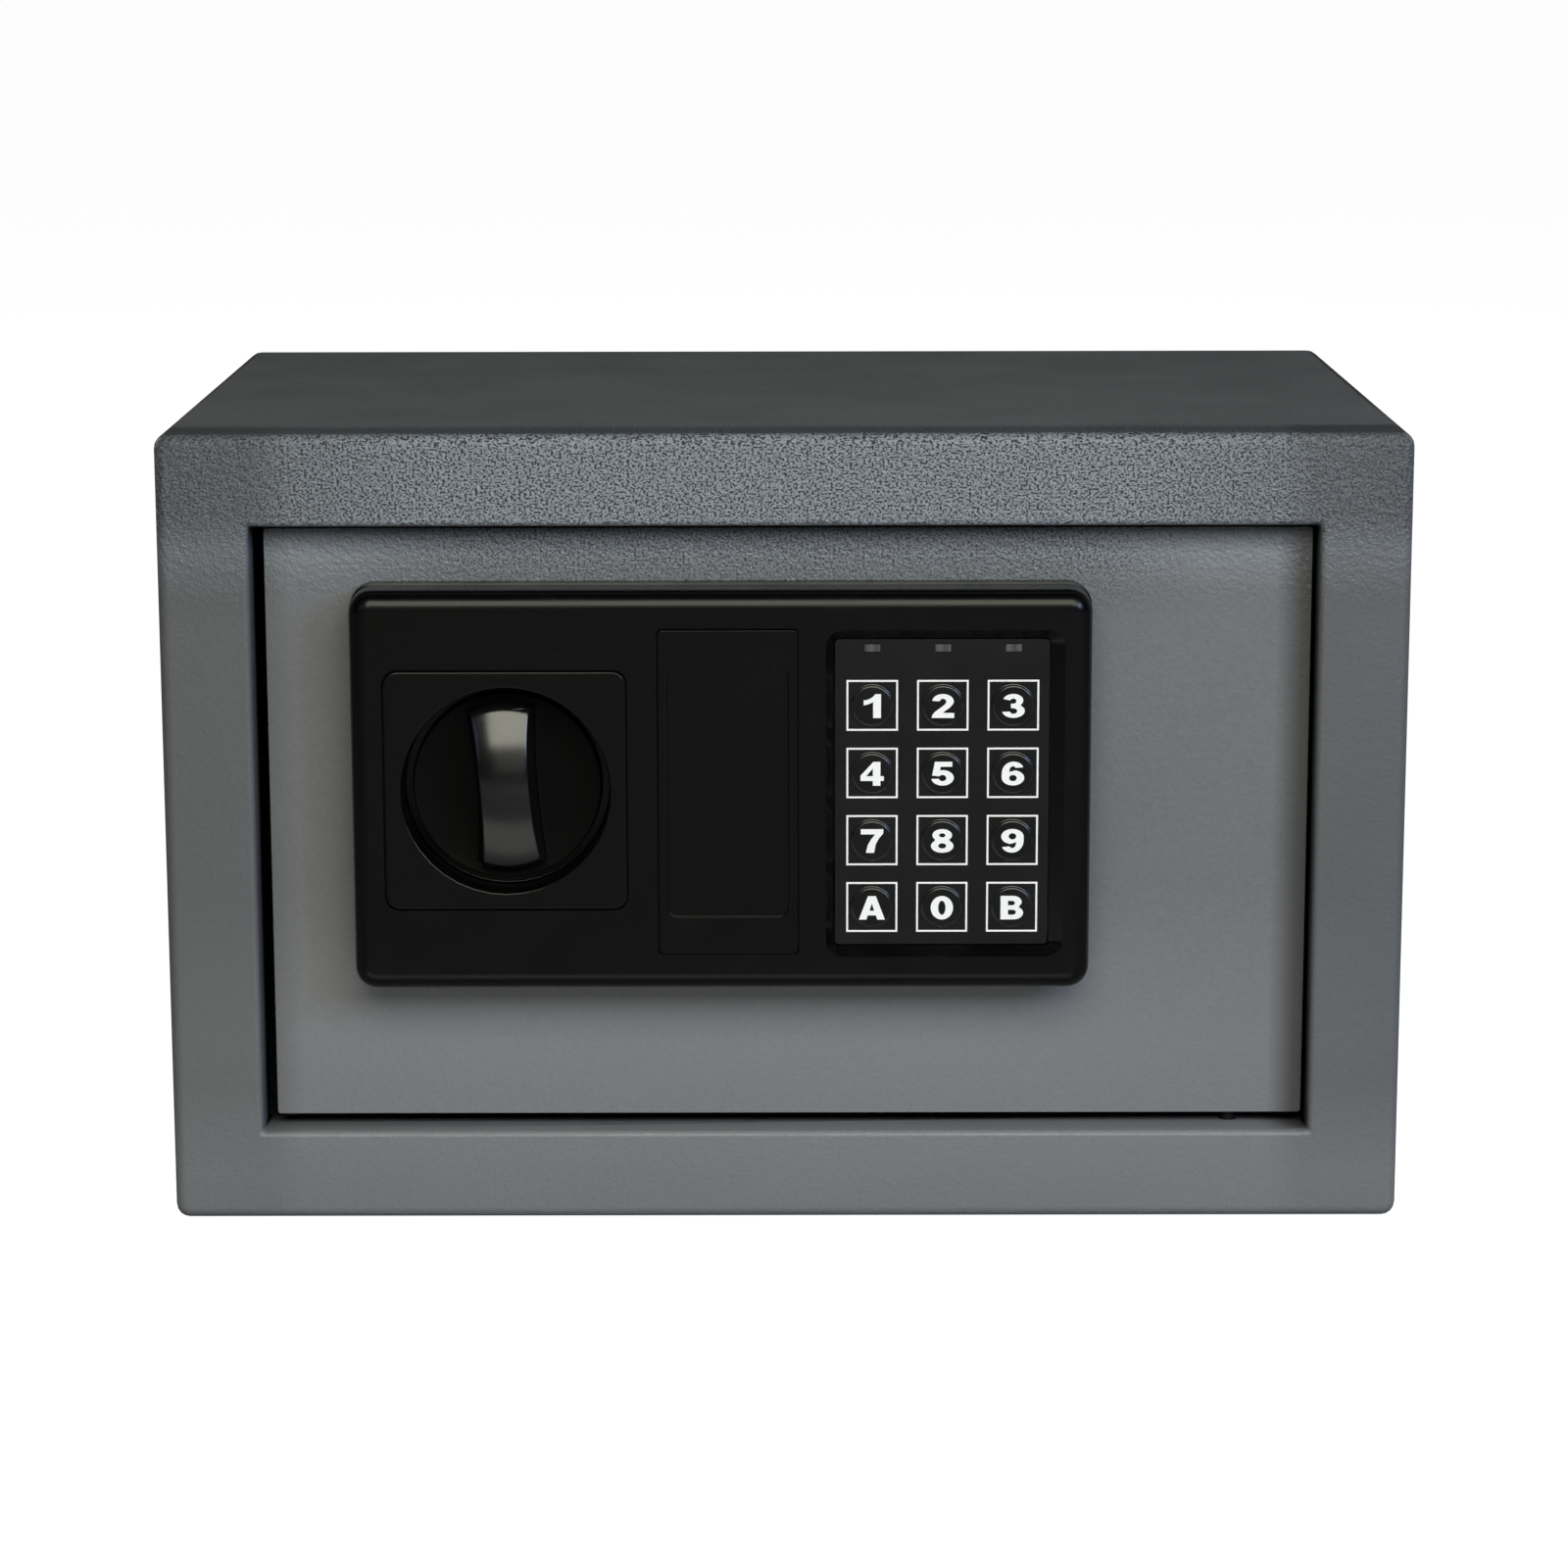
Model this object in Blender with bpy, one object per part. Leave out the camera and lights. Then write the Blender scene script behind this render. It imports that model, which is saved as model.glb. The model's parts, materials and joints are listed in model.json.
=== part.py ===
"""Small electronic in-room safe, as separate solids at its real size.

Frame: metres, +X right, +Y back, +Z up, origin at the centre of the case's base.
Depths are measured backwards from the front face of the case. The door is closed, its bolts
are drawn in and the blocking pin is held down, as just after a valid code.
"""

import math

import bmesh
import bpy
from mathutils import Matrix, Vector

# Case
CASE_WIDTH = 0.310
CASE_DEPTH = 0.200
CASE_HEIGHT = 0.200
SHEET = 0.002
BEND_RADIUS = 0.0035
FRONT_BEND = 0.003
OPENING_HALF_WIDTH = 0.1322
OPENING_LOW = 0.0228
OPENING_HIGH = 0.1772
LIP_DEPTH = 0.016
LIP_BEND = 0.0015
GAP = 0.0003
LIP_FOLD_RADIUS = 0.0028
ANCHOR_RADIUS = 0.005
REAR_ANCHORS = ((-0.060, 0.100), (0.060, 0.100))
FLOOR_ANCHORS = ((-0.090, 0.020), (0.090, 0.020))
MAT_THICKNESS = 0.002
MAT_MARGIN = 0.002
LUG_HALF = 0.010
LUG_THICKNESS = 0.003

# Door
DOOR_LEFT = -0.1291
DOOR_RIGHT = 0.1310
DOOR_LOW = 0.0258
DOOR_HIGH = 0.1760
DOOR_RECESS = 0.007
DOOR_THICKNESS = 0.003
DOOR_BACK = DOOR_RECESS + DOOR_THICKNESS
HINGE_X = 0.113
HINGE_DEPTH = 0.0124
HINGE_PIN_RADIUS = 0.002
HINGE_BORE_RADIUS = 0.0023
HINGE_PIN_LENGTH = 0.0156
PAN_LEFT = -0.126
PAN_RIGHT = 0.124
PAN_LOW = 0.031
PAN_HIGH = 0.171
PAN_WALL = 0.0015
PAN_BACK = 0.040
PAN_LIP = 0.012
COVER_THICKNESS = 0.0012
COVER_FRONT = PAN_BACK + GAP
COVER_BACK = COVER_FRONT + COVER_THICKNESS
COVER_MARGIN = 0.003
COVER_SCREWS = ((-0.118, 0.038), (0.116, 0.038), (0.116, 0.164), (-0.118, 0.164))
SCREW_HOLE_RADIUS = 0.0019

# Bolt work
KNOB_X = -0.069
KNOB_Z = 0.1127
SHAFT_RADIUS = 0.0040
SHAFT_BORE_RADIUS = 0.0043
BOLT_RADIUS = 0.007
BOLT_HOLE_RADIUS = 0.0074
BOLT_CENTRE_DEPTH = 0.0245
BOLT_HEIGHTS = {"upper_bolt": KNOB_Z + 0.035, "lower_bolt": KNOB_Z - 0.035}
BOLT_TIP = -0.127
BOLT_REAR = -0.092
BAR_FRONT = 0.023
BAR_BACK = 0.026
GUIDE_LEFT = -0.121
CAM_RADIUS = 0.014
CAM_PIN_RADIUS = 0.0025
CAM_REST_ANGLE = math.radians(60)
BLOCKING_PIN_X = -0.038
BLOCKING_PIN_RADIUS = 0.0030

# Control panel
PANEL_LEFT = -0.1073
PANEL_RIGHT = 0.0758
PANEL_LOW = 0.0618
PANEL_HIGH = 0.1624
PANEL_FACE = -0.009
PANEL_REAR = DOOR_RECESS - GAP
PANEL_FILLET = 0.0045
PANEL_CORNER = 0.0055
WELL_RADIUS = 0.0258
WELL_FLOOR = 0.002
FLOOR_THICKNESS = 0.0025
PANEL_WALL = 0.0025
TILE_HALF = 0.0300
TILE_CORNER = 0.0035
TILE_RISE = 0.0003
TILE_BACK = PANEL_FACE + 0.0011
CUP_RADIUS = WELL_RADIUS + 0.0022
CROWN_DEPTH = -0.0125
SKIRT_DEPTH = -0.0010
DOME_RADIUS = 0.0212
GRIP_LEAN = math.radians(4)
COVER_X = -0.014
COVER_Z = 0.1122
COVER_HALF_WIDTH = 0.0172
COVER_HALF_HEIGHT = 0.0407
COVER_RISE = 0.0008
POCKET_HALF_WIDTH = 0.0145
POCKET_HALF_HEIGHT = 0.0370
LOCK_AXIS = (COVER_X, COVER_Z)
LOCK_RADIUS = 0.0092
LOCK_HOLE_RADIUS = 0.0096
PLUG_RADIUS = 0.0059
PLUG_BORE_RADIUS = 0.0063
KEY_COLUMNS = (0.0216, 0.0390, 0.0564)
KEY_ROWS = (0.1336, 0.1166, 0.0996, 0.0826)
KEY_NAMES = (("1", "2", "3"), ("4", "5", "6"), ("7", "8", "9"), ("a", "0", "b"))
KEY_HOLE_RADIUS = 0.0055
KEY_RISE = 0.0008
KEYPAD_CENTRE = (0.03885, 0.1116)
KEYPAD_HALF_WIDTH = 0.02645
KEYPAD_HALF_HEIGHT = 0.0385
KEYPAD_FACE = PANEL_FACE + 0.0025
WINDOW_SHIFT = 0.00075
LENS_HEIGHT = 0.1479
LENS_HALF_WIDTH = 0.0017
LENS_HALF_HEIGHT = 0.0008

# Battery bay, reset switch and leads
CELL_RADIUS = 0.0072
CELL_PITCH = 0.0158
CELL_COUNT = 4
TRAY_X = 0.058
TRAY_Z = 0.1125
TRAY_HALF_WIDTH = 0.034
TRAY_HALF_HEIGHT = 0.0285
TRAY_FRONT = 0.0205
TRAY_WALL = 0.0015
LID_HALF_WIDTH = 0.036
LID_HALF_HEIGHT = 0.0305
RESET = (0.0050, 0.1520)
GROMMET = (0.0120, 0.0850)
GROMMET_HOLE_RADIUS = 0.0052
LEAD_RADIUS = 0.0011
SPRING_WIRE = 0.0003

COLOURS = {
    "case_paint": ((0.17, 0.18, 0.19), 0.45, 0.0),
    "bare_steel": ((0.55, 0.55, 0.56), 0.30, 1.0),
    "zinc": ((0.60, 0.58, 0.50), 0.35, 1.0),
    "brass": ((0.60, 0.45, 0.20), 0.30, 1.0),
    "black_plastic": ((0.008, 0.008, 0.008), 0.35, 0.0),
    "gloss_plastic": ((0.006, 0.006, 0.006), 0.12, 0.0),
    "keypad_plastic": ((0.012, 0.012, 0.012), 0.45, 0.0),
    "lens": ((0.06, 0.06, 0.055), 0.2, 0.0),
    "circuit_board": ((0.02, 0.12, 0.05), 0.4, 0.0),
    "carpet": ((0.05, 0.05, 0.055), 0.95, 0.0),
    "red_plastic": ((0.55, 0.02, 0.02), 0.3, 0.0),
    "cell_wrap": ((0.03, 0.09, 0.25), 0.3, 0.0),
    "copper": ((0.55, 0.22, 0.08), 0.4, 1.0),
    "rubber": ((0.02, 0.02, 0.02), 0.8, 0.0),
}


def world_y(depth):
    return depth - CASE_DEPTH / 2


def clear_scene():
    for old in list(bpy.data.objects):
        bpy.data.objects.remove(old)


def material(name):
    found = bpy.data.materials.get(name)
    if found:
        return found
    colour, roughness, metallic = COLOURS[name]
    made = bpy.data.materials.new(name)
    made.use_nodes = True
    shader = made.node_tree.nodes["Principled BSDF"]
    shader.inputs["Base Color"].default_value = (*colour, 1)
    shader.inputs["Roughness"].default_value = roughness
    shader.inputs["Metallic"].default_value = metallic
    made.diffuse_color = (*colour, 1)
    return made


def finish_mesh(shape, name):
    """The bmesh as a mesh with its faces pointing out and its round sides smooth."""
    bmesh.ops.recalc_face_normals(shape, faces=shape.faces)
    mesh = bpy.data.meshes.new(name)
    shape.to_mesh(mesh)
    shape.free()
    mesh.shade_smooth()
    mesh.set_sharp_from_angle(angle=math.radians(35))
    return mesh


def add(name, mesh, material_name, pivot=None):
    """A visible piece. With a pivot, the piece hangs on that empty and keeps its place."""
    piece = bpy.data.objects.new(name, mesh)
    bpy.context.scene.collection.objects.link(piece)
    piece.data.materials.append(material(material_name))
    if pivot:
        piece.parent = pivot
        piece.matrix_parent_inverse = pivot.matrix_world.inverted()
    return piece


def empty(name, place, parent=None):
    pivot = bpy.data.objects.new(name, None)
    pivot.empty_display_size = 0.01
    bpy.context.scene.collection.objects.link(pivot)
    pivot.matrix_world = Matrix.Translation(place)
    if parent:
        pivot.parent = parent
        pivot.matrix_parent_inverse = parent.matrix_world.inverted()
    bpy.context.view_layer.update()
    return pivot


def boolean(target, mesh, operation="DIFFERENCE"):
    """Cuts the mesh from the target, or joins it on, with a hidden helper object."""
    helper = bpy.data.objects.new(target.name + "_" + operation.lower(), mesh)
    bpy.context.scene.collection.objects.link(helper)
    helper.hide_render = True
    helper.display_type = "WIRE"
    helper.parent = target.parent
    helper.matrix_parent_inverse = target.matrix_parent_inverse.copy()
    modifier = target.modifiers.new(operation.title(), "BOOLEAN")
    modifier.operation = operation
    modifier.solver = "EXACT"
    modifier.object = helper


def rounded(low, high, radius, steps=4):
    """Outline of a rectangle with round corners, anticlockwise from its right lower corner."""
    centres = (
        (high[0] - radius, low[1] + radius, -90),
        (high[0] - radius, high[1] - radius, 0),
        (low[0] + radius, high[1] - radius, 90),
        (low[0] + radius, low[1] + radius, 180),
    )
    outline = []
    for x, z, start in centres:
        for step in range(steps + 1):
            angle = math.radians(start + 90 * step / steps)
            outline.append((x + radius * math.cos(angle), z + radius * math.sin(angle)))
    return outline


def rectangle(low, high):
    return [(low[0], low[1]), (high[0], low[1]), (high[0], high[1]), (low[0], high[1])]


def ring_points(outline, depth):
    return [Vector((x, world_y(depth), z)) for x, z in outline]


def bridge(shape, first, second):
    count = len(first)
    for i in range(count):
        shape.faces.new((first[i], first[(i + 1) % count], second[(i + 1) % count], second[i]))


def loft(rings, name, closed=False):
    """A solid through rings of equal length. Closed joins the last ring to the first."""
    shape = bmesh.new()
    loops = [[shape.verts.new(point) for point in ring] for ring in rings]
    for first, second in zip(loops, loops[1:]):
        bridge(shape, first, second)
    if closed:
        bridge(shape, loops[-1], loops[0])
    else:
        shape.faces.new(loops[0])
        shape.faces.new(loops[-1])
    return finish_mesh(shape, name)


def plate(outline, front, back, name="plate"):
    """A flat piece whose outline lies in X and Z, between two depths."""
    shape = bmesh.new()
    face = shape.faces.new([shape.verts.new(point) for point in ring_points(outline, front)])
    grown = bmesh.ops.extrude_face_region(shape, geom=[face])["geom"]
    moved = [item for item in grown if isinstance(item, bmesh.types.BMVert)]
    bmesh.ops.translate(shape, verts=moved, vec=(0, back - front, 0))
    return finish_mesh(shape, name)


def block(low, high, name="block"):
    """A box between two corners, each given as x, depth, z."""
    return plate(rectangle((low[0], low[2]), (high[0], high[2])), low[1], high[1], name)


def turned(profile, place, axis="Y", steps=24, name="turned"):
    """A solid turned about an axis. The profile lists (radius, distance along the axis)."""
    shape = bmesh.new()
    points = [shape.verts.new((radius, 0, along)) for radius, along in profile]
    edges = [shape.edges.new(pair) for pair in zip(points, points[1:])]
    if profile[0][0] > 0:
        edges.append(shape.edges.new((points[-1], points[0])))
    bmesh.ops.spin(
        shape, geom=points + edges, cent=(0, 0, 0), axis=(0, 0, 1),
        angle=2 * math.pi, steps=steps, use_merge=True,
    )
    bmesh.ops.remove_doubles(shape, verts=shape.verts, dist=1e-6)
    turn = {
        "X": Matrix.Rotation(math.pi / 2, 4, "Y"),
        "Y": Matrix.Rotation(-math.pi / 2, 4, "X"),
        "Z": Matrix.Identity(4),
    }[axis]
    shape.transform(Matrix.Translation(place) @ turn)
    return finish_mesh(shape, name)


def cylinder(x, z, radius, front, back, steps=24):
    """A round bar along Y between two depths."""
    profile = [(0, 0), (radius, 0), (radius, back - front), (0, back - front)]
    return turned(profile, (x, world_y(front), z), "Y", steps)


def upright(x, depth, radius, low, high, steps=20):
    profile = [(0, 0), (radius, 0), (radius, high - low), (0, high - low)]
    return turned(profile, (x, world_y(depth), low), "Z", steps)


def joined(meshes, name="cutters"):
    """Several separate shapes as one mesh, for cutting them all at once."""
    shape = bmesh.new()
    for mesh in meshes:
        shape.from_mesh(mesh)
    mesh = bpy.data.meshes.new(name)
    shape.to_mesh(mesh)
    shape.free()
    return mesh


def smooth_route(points, spacing):
    """Evenly spaced points on a smooth curve through the given ones."""
    ends = [points[0]] + points + [points[-1]]
    fine = []
    for a, b, c, d in zip(ends, ends[1:], ends[2:], ends[3:]):
        for step in range(12):
            t = step / 12
            fine.append(
                0.5 * (2 * b + (c - a) * t + (2 * a - 5 * b + 4 * c - d) * t * t
                       + (3 * b - a - 3 * c + d) * t ** 3)
            )
    fine.append(points[-1])
    route = [fine[0]]
    for point in fine:
        if (point - route[-1]).length >= spacing:
            route.append(point)
    return route


def tube(name, points, radius, material_name, pivot, sides=1):
    """A wire along the points, closed at both ends."""
    curve = bpy.data.curves.new(name, "CURVE")
    curve.dimensions = "3D"
    curve.bevel_depth = radius
    curve.bevel_resolution = sides
    curve.use_fill_caps = True
    spline = curve.splines.new("POLY")
    spline.points.add(len(points) - 1)
    for target, point in zip(spline.points, points):
        target.co = (*point, 1)
    return add(name, curve, material_name, pivot)


def case_ring(inset, depth, radius):
    half = CASE_WIDTH / 2 - inset
    return ring_points(rounded((-half, inset), (half, CASE_HEIGHT - inset), radius), depth)


def opening_ring(outset, depth, radius=0.0008):
    half = OPENING_HALF_WIDTH + outset
    low = (-half, OPENING_LOW - outset)
    return ring_points(rounded(low, (half, OPENING_HIGH + outset), radius), depth)


def make_case():
    """The bent sheet with its folded front frame, the back and what is welded inside."""
    rings = [case_ring(0, CASE_DEPTH, BEND_RADIUS), case_ring(0, FRONT_BEND, BEND_RADIUS)]
    for step in range(1, 5):
        angle = math.radians(90 * step / 4)
        inset = FRONT_BEND * (1 - math.cos(angle))
        rings.append(case_ring(inset, FRONT_BEND * (1 - math.sin(angle)), BEND_RADIUS - inset))
    for step in range(3):
        angle = math.radians(90 * step / 2)
        outset = LIP_BEND * (1 - math.sin(angle))
        rings.append(opening_ring(outset, LIP_BEND * (1 - math.cos(angle))))
    rings.append(opening_ring(0, LIP_DEPTH))
    rings.append(opening_ring(SHEET, LIP_DEPTH, LIP_FOLD_RADIUS))
    rings.append(opening_ring(SHEET, SHEET, LIP_FOLD_RADIUS))
    rings.append(case_ring(SHEET, SHEET, BEND_RADIUS - SHEET))
    rings.append(case_ring(SHEET, CASE_DEPTH, BEND_RADIUS - SHEET))
    shell = add("case_shell", loft(rings, "case_shell", closed=True), "case_paint")
    pin_hole = upright(HINGE_X, HINGE_DEPTH, HINGE_BORE_RADIUS, 0.010, 0.190)
    floor_holes = [
        turned([(0, 0), (ANCHOR_RADIUS, 0), (ANCHOR_RADIUS, 0.01), (0, 0.01)], (x, y, -0.003), "Z")
        for x, y in FLOOR_ANCHORS
    ]
    boolean(shell, joined([pin_hole] + floor_holes))

    inner_half = CASE_WIDTH / 2 - SHEET - GAP
    inner_low = SHEET + GAP
    outline = rounded((-inner_half, inner_low), (inner_half, CASE_HEIGHT - inner_low), 0.0015)
    back = add("back_panel", plate(outline, CASE_DEPTH - SHEET, CASE_DEPTH), "case_paint")
    boolean(back, joined([
        cylinder(x, z, ANCHOR_RADIUS, CASE_DEPTH - 0.01, CASE_DEPTH + 0.01)
        for x, z in REAR_ANCHORS
    ]))

    mat_low = inner_low
    mat = add("floor_mat", block(
        (MAT_MARGIN - inner_half, LIP_DEPTH + MAT_MARGIN, mat_low),
        (inner_half - MAT_MARGIN, CASE_DEPTH - SHEET - MAT_MARGIN, mat_low + MAT_THICKNESS),
    ), "carpet")
    boolean(mat, joined([
        upright(x, y + CASE_DEPTH / 2, ANCHOR_RADIUS + 0.001, -0.003, 0.01, 24)
        for x, y in FLOOR_ANCHORS
    ]))

    lip_top = OPENING_HIGH + SHEET + GAP
    lip_bottom = OPENING_LOW - SHEET - GAP
    for name, low in (("hinge_lug_upper", lip_top), ("hinge_lug_lower", lip_bottom - LUG_THICKNESS)):
        lug = add(name, block(
            (HINGE_X - LUG_HALF, SHEET + 0.001, low),
            (HINGE_X + LUG_HALF, HINGE_DEPTH + 0.007, low + LUG_THICKNESS),
        ), "bare_steel")
        boolean(lug, upright(HINGE_X, HINGE_DEPTH, HINGE_BORE_RADIUS, low - 0.005, low + 0.008))


def bolt_holes(wall_left):
    """Cutters for the two bolts through an upright wall that starts at this X."""
    profile = [(0, 0), (BOLT_HOLE_RADIUS, 0), (BOLT_HOLE_RADIUS, 0.012), (0, 0.012)]
    return [
        turned(profile, (wall_left - 0.005, world_y(BOLT_CENTRE_DEPTH), z), "X")
        for z in BOLT_HEIGHTS.values()
    ]


def make_door(pivot):
    """The door plate, the pan welded behind it, its pivot pins and the bolt guide."""
    outline = rounded((DOOR_LEFT, DOOR_LOW), (DOOR_RIGHT, DOOR_HIGH), 0.0008)
    door = add("door_plate", plate(outline, DOOR_RECESS, DOOR_BACK), "case_paint", pivot)
    boolean(door, joined([
        cylinder(KNOB_X, KNOB_Z, SHAFT_BORE_RADIUS, 0, 0.015),
        cylinder(*LOCK_AXIS, LOCK_HOLE_RADIUS, 0, 0.015),
        cylinder(*GROMMET, GROMMET_HOLE_RADIUS, 0, 0.015),
    ]))

    def pan_ring(inset, depth):
        low = (PAN_LEFT + inset, PAN_LOW + inset)
        high = (PAN_RIGHT - inset, PAN_HIGH - inset)
        return ring_points(rounded(low, high, 0.0025 if inset == 0 else 0.001, 2), depth)

    front = DOOR_BACK + GAP
    pan = add("door_pan", loft([
        pan_ring(0, front), pan_ring(0, PAN_BACK),
        pan_ring(PAN_LIP, PAN_BACK), pan_ring(PAN_LIP, PAN_BACK - PAN_WALL),
        pan_ring(PAN_WALL, PAN_BACK - PAN_WALL), pan_ring(PAN_WALL, front),
    ], "door_pan", closed=True), "case_paint", pivot)
    screw_holes = [cylinder(x, z, SCREW_HOLE_RADIUS, 0.03, 0.045, 16) for x, z in COVER_SCREWS]
    pin_holes = [
        upright(HINGE_X, HINGE_DEPTH, HINGE_BORE_RADIUS, low, low + 0.006)
        for low in (PAN_LOW - 0.002, PAN_HIGH - 0.004)
    ]
    boolean(pan, joined(bolt_holes(PAN_LEFT) + screw_holes + pin_holes))

    chamfer = 0.0005
    pin = [
        (0, 0), (HINGE_PIN_RADIUS - chamfer, 0), (HINGE_PIN_RADIUS, chamfer),
        (HINGE_PIN_RADIUS, HINGE_PIN_LENGTH - chamfer),
        (HINGE_PIN_RADIUS - chamfer, HINGE_PIN_LENGTH), (0, HINGE_PIN_LENGTH),
    ]
    seat = 0.0034
    for name, end, way in (("upper", PAN_HIGH - seat, 1), ("lower", PAN_LOW + seat, -1)):
        profile = [(radius, way * along) for radius, along in pin]
        place = (HINGE_X, world_y(HINGE_DEPTH), end)
        add(f"hinge_pin_{name}", turned(profile, place, "Z", 16), "bare_steel", pivot)

    guide_low, guide_high = BOLT_HEIGHTS["lower_bolt"] - 0.013, BOLT_HEIGHTS["upper_bolt"] + 0.013
    guide = add("bolt_guide", block(
        (GUIDE_LEFT, front, guide_low), (GUIDE_LEFT + 0.002, 0.034, guide_high),
    ), "bare_steel", pivot)
    boolean(guide, block(
        (GUIDE_LEFT + 0.001, front, guide_low), (GUIDE_LEFT + 0.014, front + 0.002, guide_high),
    ), "UNION")
    boolean(guide, joined(bolt_holes(GUIDE_LEFT)))


def make_inner_cover(pivot):
    """The steel cover inside the door with its screws, and the battery bay behind its lid."""
    low = (PAN_LEFT + COVER_MARGIN, PAN_LOW + COVER_MARGIN)
    high = (PAN_RIGHT - COVER_MARGIN, PAN_HIGH - COVER_MARGIN)
    cover = add("inner_cover", plate(rounded(low, high, 0.003, 2), COVER_FRONT, COVER_BACK),
                "case_paint", pivot)
    bay = block((TRAY_X - TRAY_HALF_WIDTH + 0.001, 0.035, TRAY_Z - TRAY_HALF_HEIGHT + 0.001),
                (TRAY_X + TRAY_HALF_WIDTH - 0.001, 0.045, TRAY_Z + TRAY_HALF_HEIGHT - 0.001))
    holes = [cylinder(x, z, SCREW_HOLE_RADIUS, 0.035, 0.045, 16) for x, z in COVER_SCREWS]
    boolean(cover, joined([bay, cylinder(*RESET, 0.0041, 0.035, 0.045)] + holes))
    screw = [
        (0, -0.0080), (0.0015, -0.0080), (0.0015, 0), (0.0032, 0),
        (0.0032, 0.0008), (0.0022, 0.0018), (0, 0.0020),
    ]
    for number, (x, z) in enumerate(COVER_SCREWS, 1):
        add(f"inner_cover_screw_{number}",
            turned(screw, (x, world_y(COVER_BACK + GAP), z), "Y", 12), "zinc", pivot)

    tray = add("battery_tray", block(
        (TRAY_X - TRAY_HALF_WIDTH, TRAY_FRONT, TRAY_Z - TRAY_HALF_HEIGHT),
        (TRAY_X + TRAY_HALF_WIDTH, PAN_BACK, TRAY_Z + TRAY_HALF_HEIGHT),
    ), "black_plastic", pivot)
    inner_half_width = TRAY_HALF_WIDTH - TRAY_WALL
    inner_half_height = TRAY_HALF_HEIGHT - TRAY_WALL
    boolean(tray, block(
        (TRAY_X - inner_half_width, TRAY_FRONT + TRAY_WALL, TRAY_Z - inner_half_height),
        (TRAY_X + inner_half_width, PAN_BACK + 0.01, TRAY_Z + inner_half_height),
    ))
    cell = [
        (0, -0.0250), (CELL_RADIUS - 0.0006, -0.0250), (CELL_RADIUS, -0.0244),
        (CELL_RADIUS, 0.0234), (CELL_RADIUS - 0.0006, 0.0240),
        (0.0028, 0.0240), (0.0026, 0.0252), (0, 0.0252),
    ]
    for number in range(CELL_COUNT):
        x = TRAY_X + (number - (CELL_COUNT - 1) / 2) * CELL_PITCH
        way = 1 if number % 2 else -1
        profile = [(radius, way * along) for radius, along in cell]
        place = (x, world_y(TRAY_FRONT + TRAY_WALL + 0.0004 + CELL_RADIUS), TRAY_Z)
        add(f"battery_{number + 1}", turned(profile, place, "Z", 16), "cell_wrap", pivot)

    lid_pivot = empty("battery_cover_slide", (TRAY_X, world_y(COVER_BACK), TRAY_Z), pivot)
    low = (TRAY_X - LID_HALF_WIDTH, TRAY_Z - LID_HALF_HEIGHT)
    high = (TRAY_X + LID_HALF_WIDTH, TRAY_Z + LID_HALF_HEIGHT)
    lid = add("battery_cover", plate(rounded(low, high, 0.002, 2), COVER_BACK + GAP, COVER_BACK + 0.0019),
              "black_plastic", lid_pivot)
    step = 0.0040
    boolean(lid, block(
        (low[0] + step, COVER_FRONT - 0.0007, low[1] + step),
        (high[0] - step, COVER_BACK + 0.001, high[1] - step),
    ), "UNION")
    boolean(lid, cylinder(TRAY_X, TRAY_Z + 0.020, 0.006, COVER_BACK + 0.0011, COVER_BACK + 0.003, 20))

    x, z = RESET
    add("reset_switch", block((x - 0.005, 0.029, z - 0.005), (x + 0.005, 0.038, z + 0.005)),
        "black_plastic", pivot)
    button_pivot = empty("reset_button_slide", (x, world_y(COVER_BACK), z), pivot)
    button = [(0, 0), (0.0036, 0), (0.0036, 0.0036), (0.0030, 0.0042), (0, 0.0044)]
    add("reset_button", turned(button, (x, world_y(0.0394), z), "Y", 16), "red_plastic", button_pivot)


def cover_block(outset, front, back):
    """The outline of the lift-off cover, grown by a little, between two depths."""
    half_width, half_height = COVER_HALF_WIDTH + outset, COVER_HALF_HEIGHT + outset
    low, high = (COVER_X - half_width, COVER_Z - half_height), (COVER_X + half_width, COVER_Z + half_height)
    return plate(rounded(low, high, 0.0010, 2), front, back)


def tile_block(outset, front, back):
    """The square tile round the knob, grown by a little, between two depths."""
    half = TILE_HALF + outset
    low, high = (KNOB_X - half, KNOB_Z - half), (KNOB_X + half, KNOB_Z + half)
    return plate(rounded(low, high, TILE_CORNER), front, back)


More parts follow.
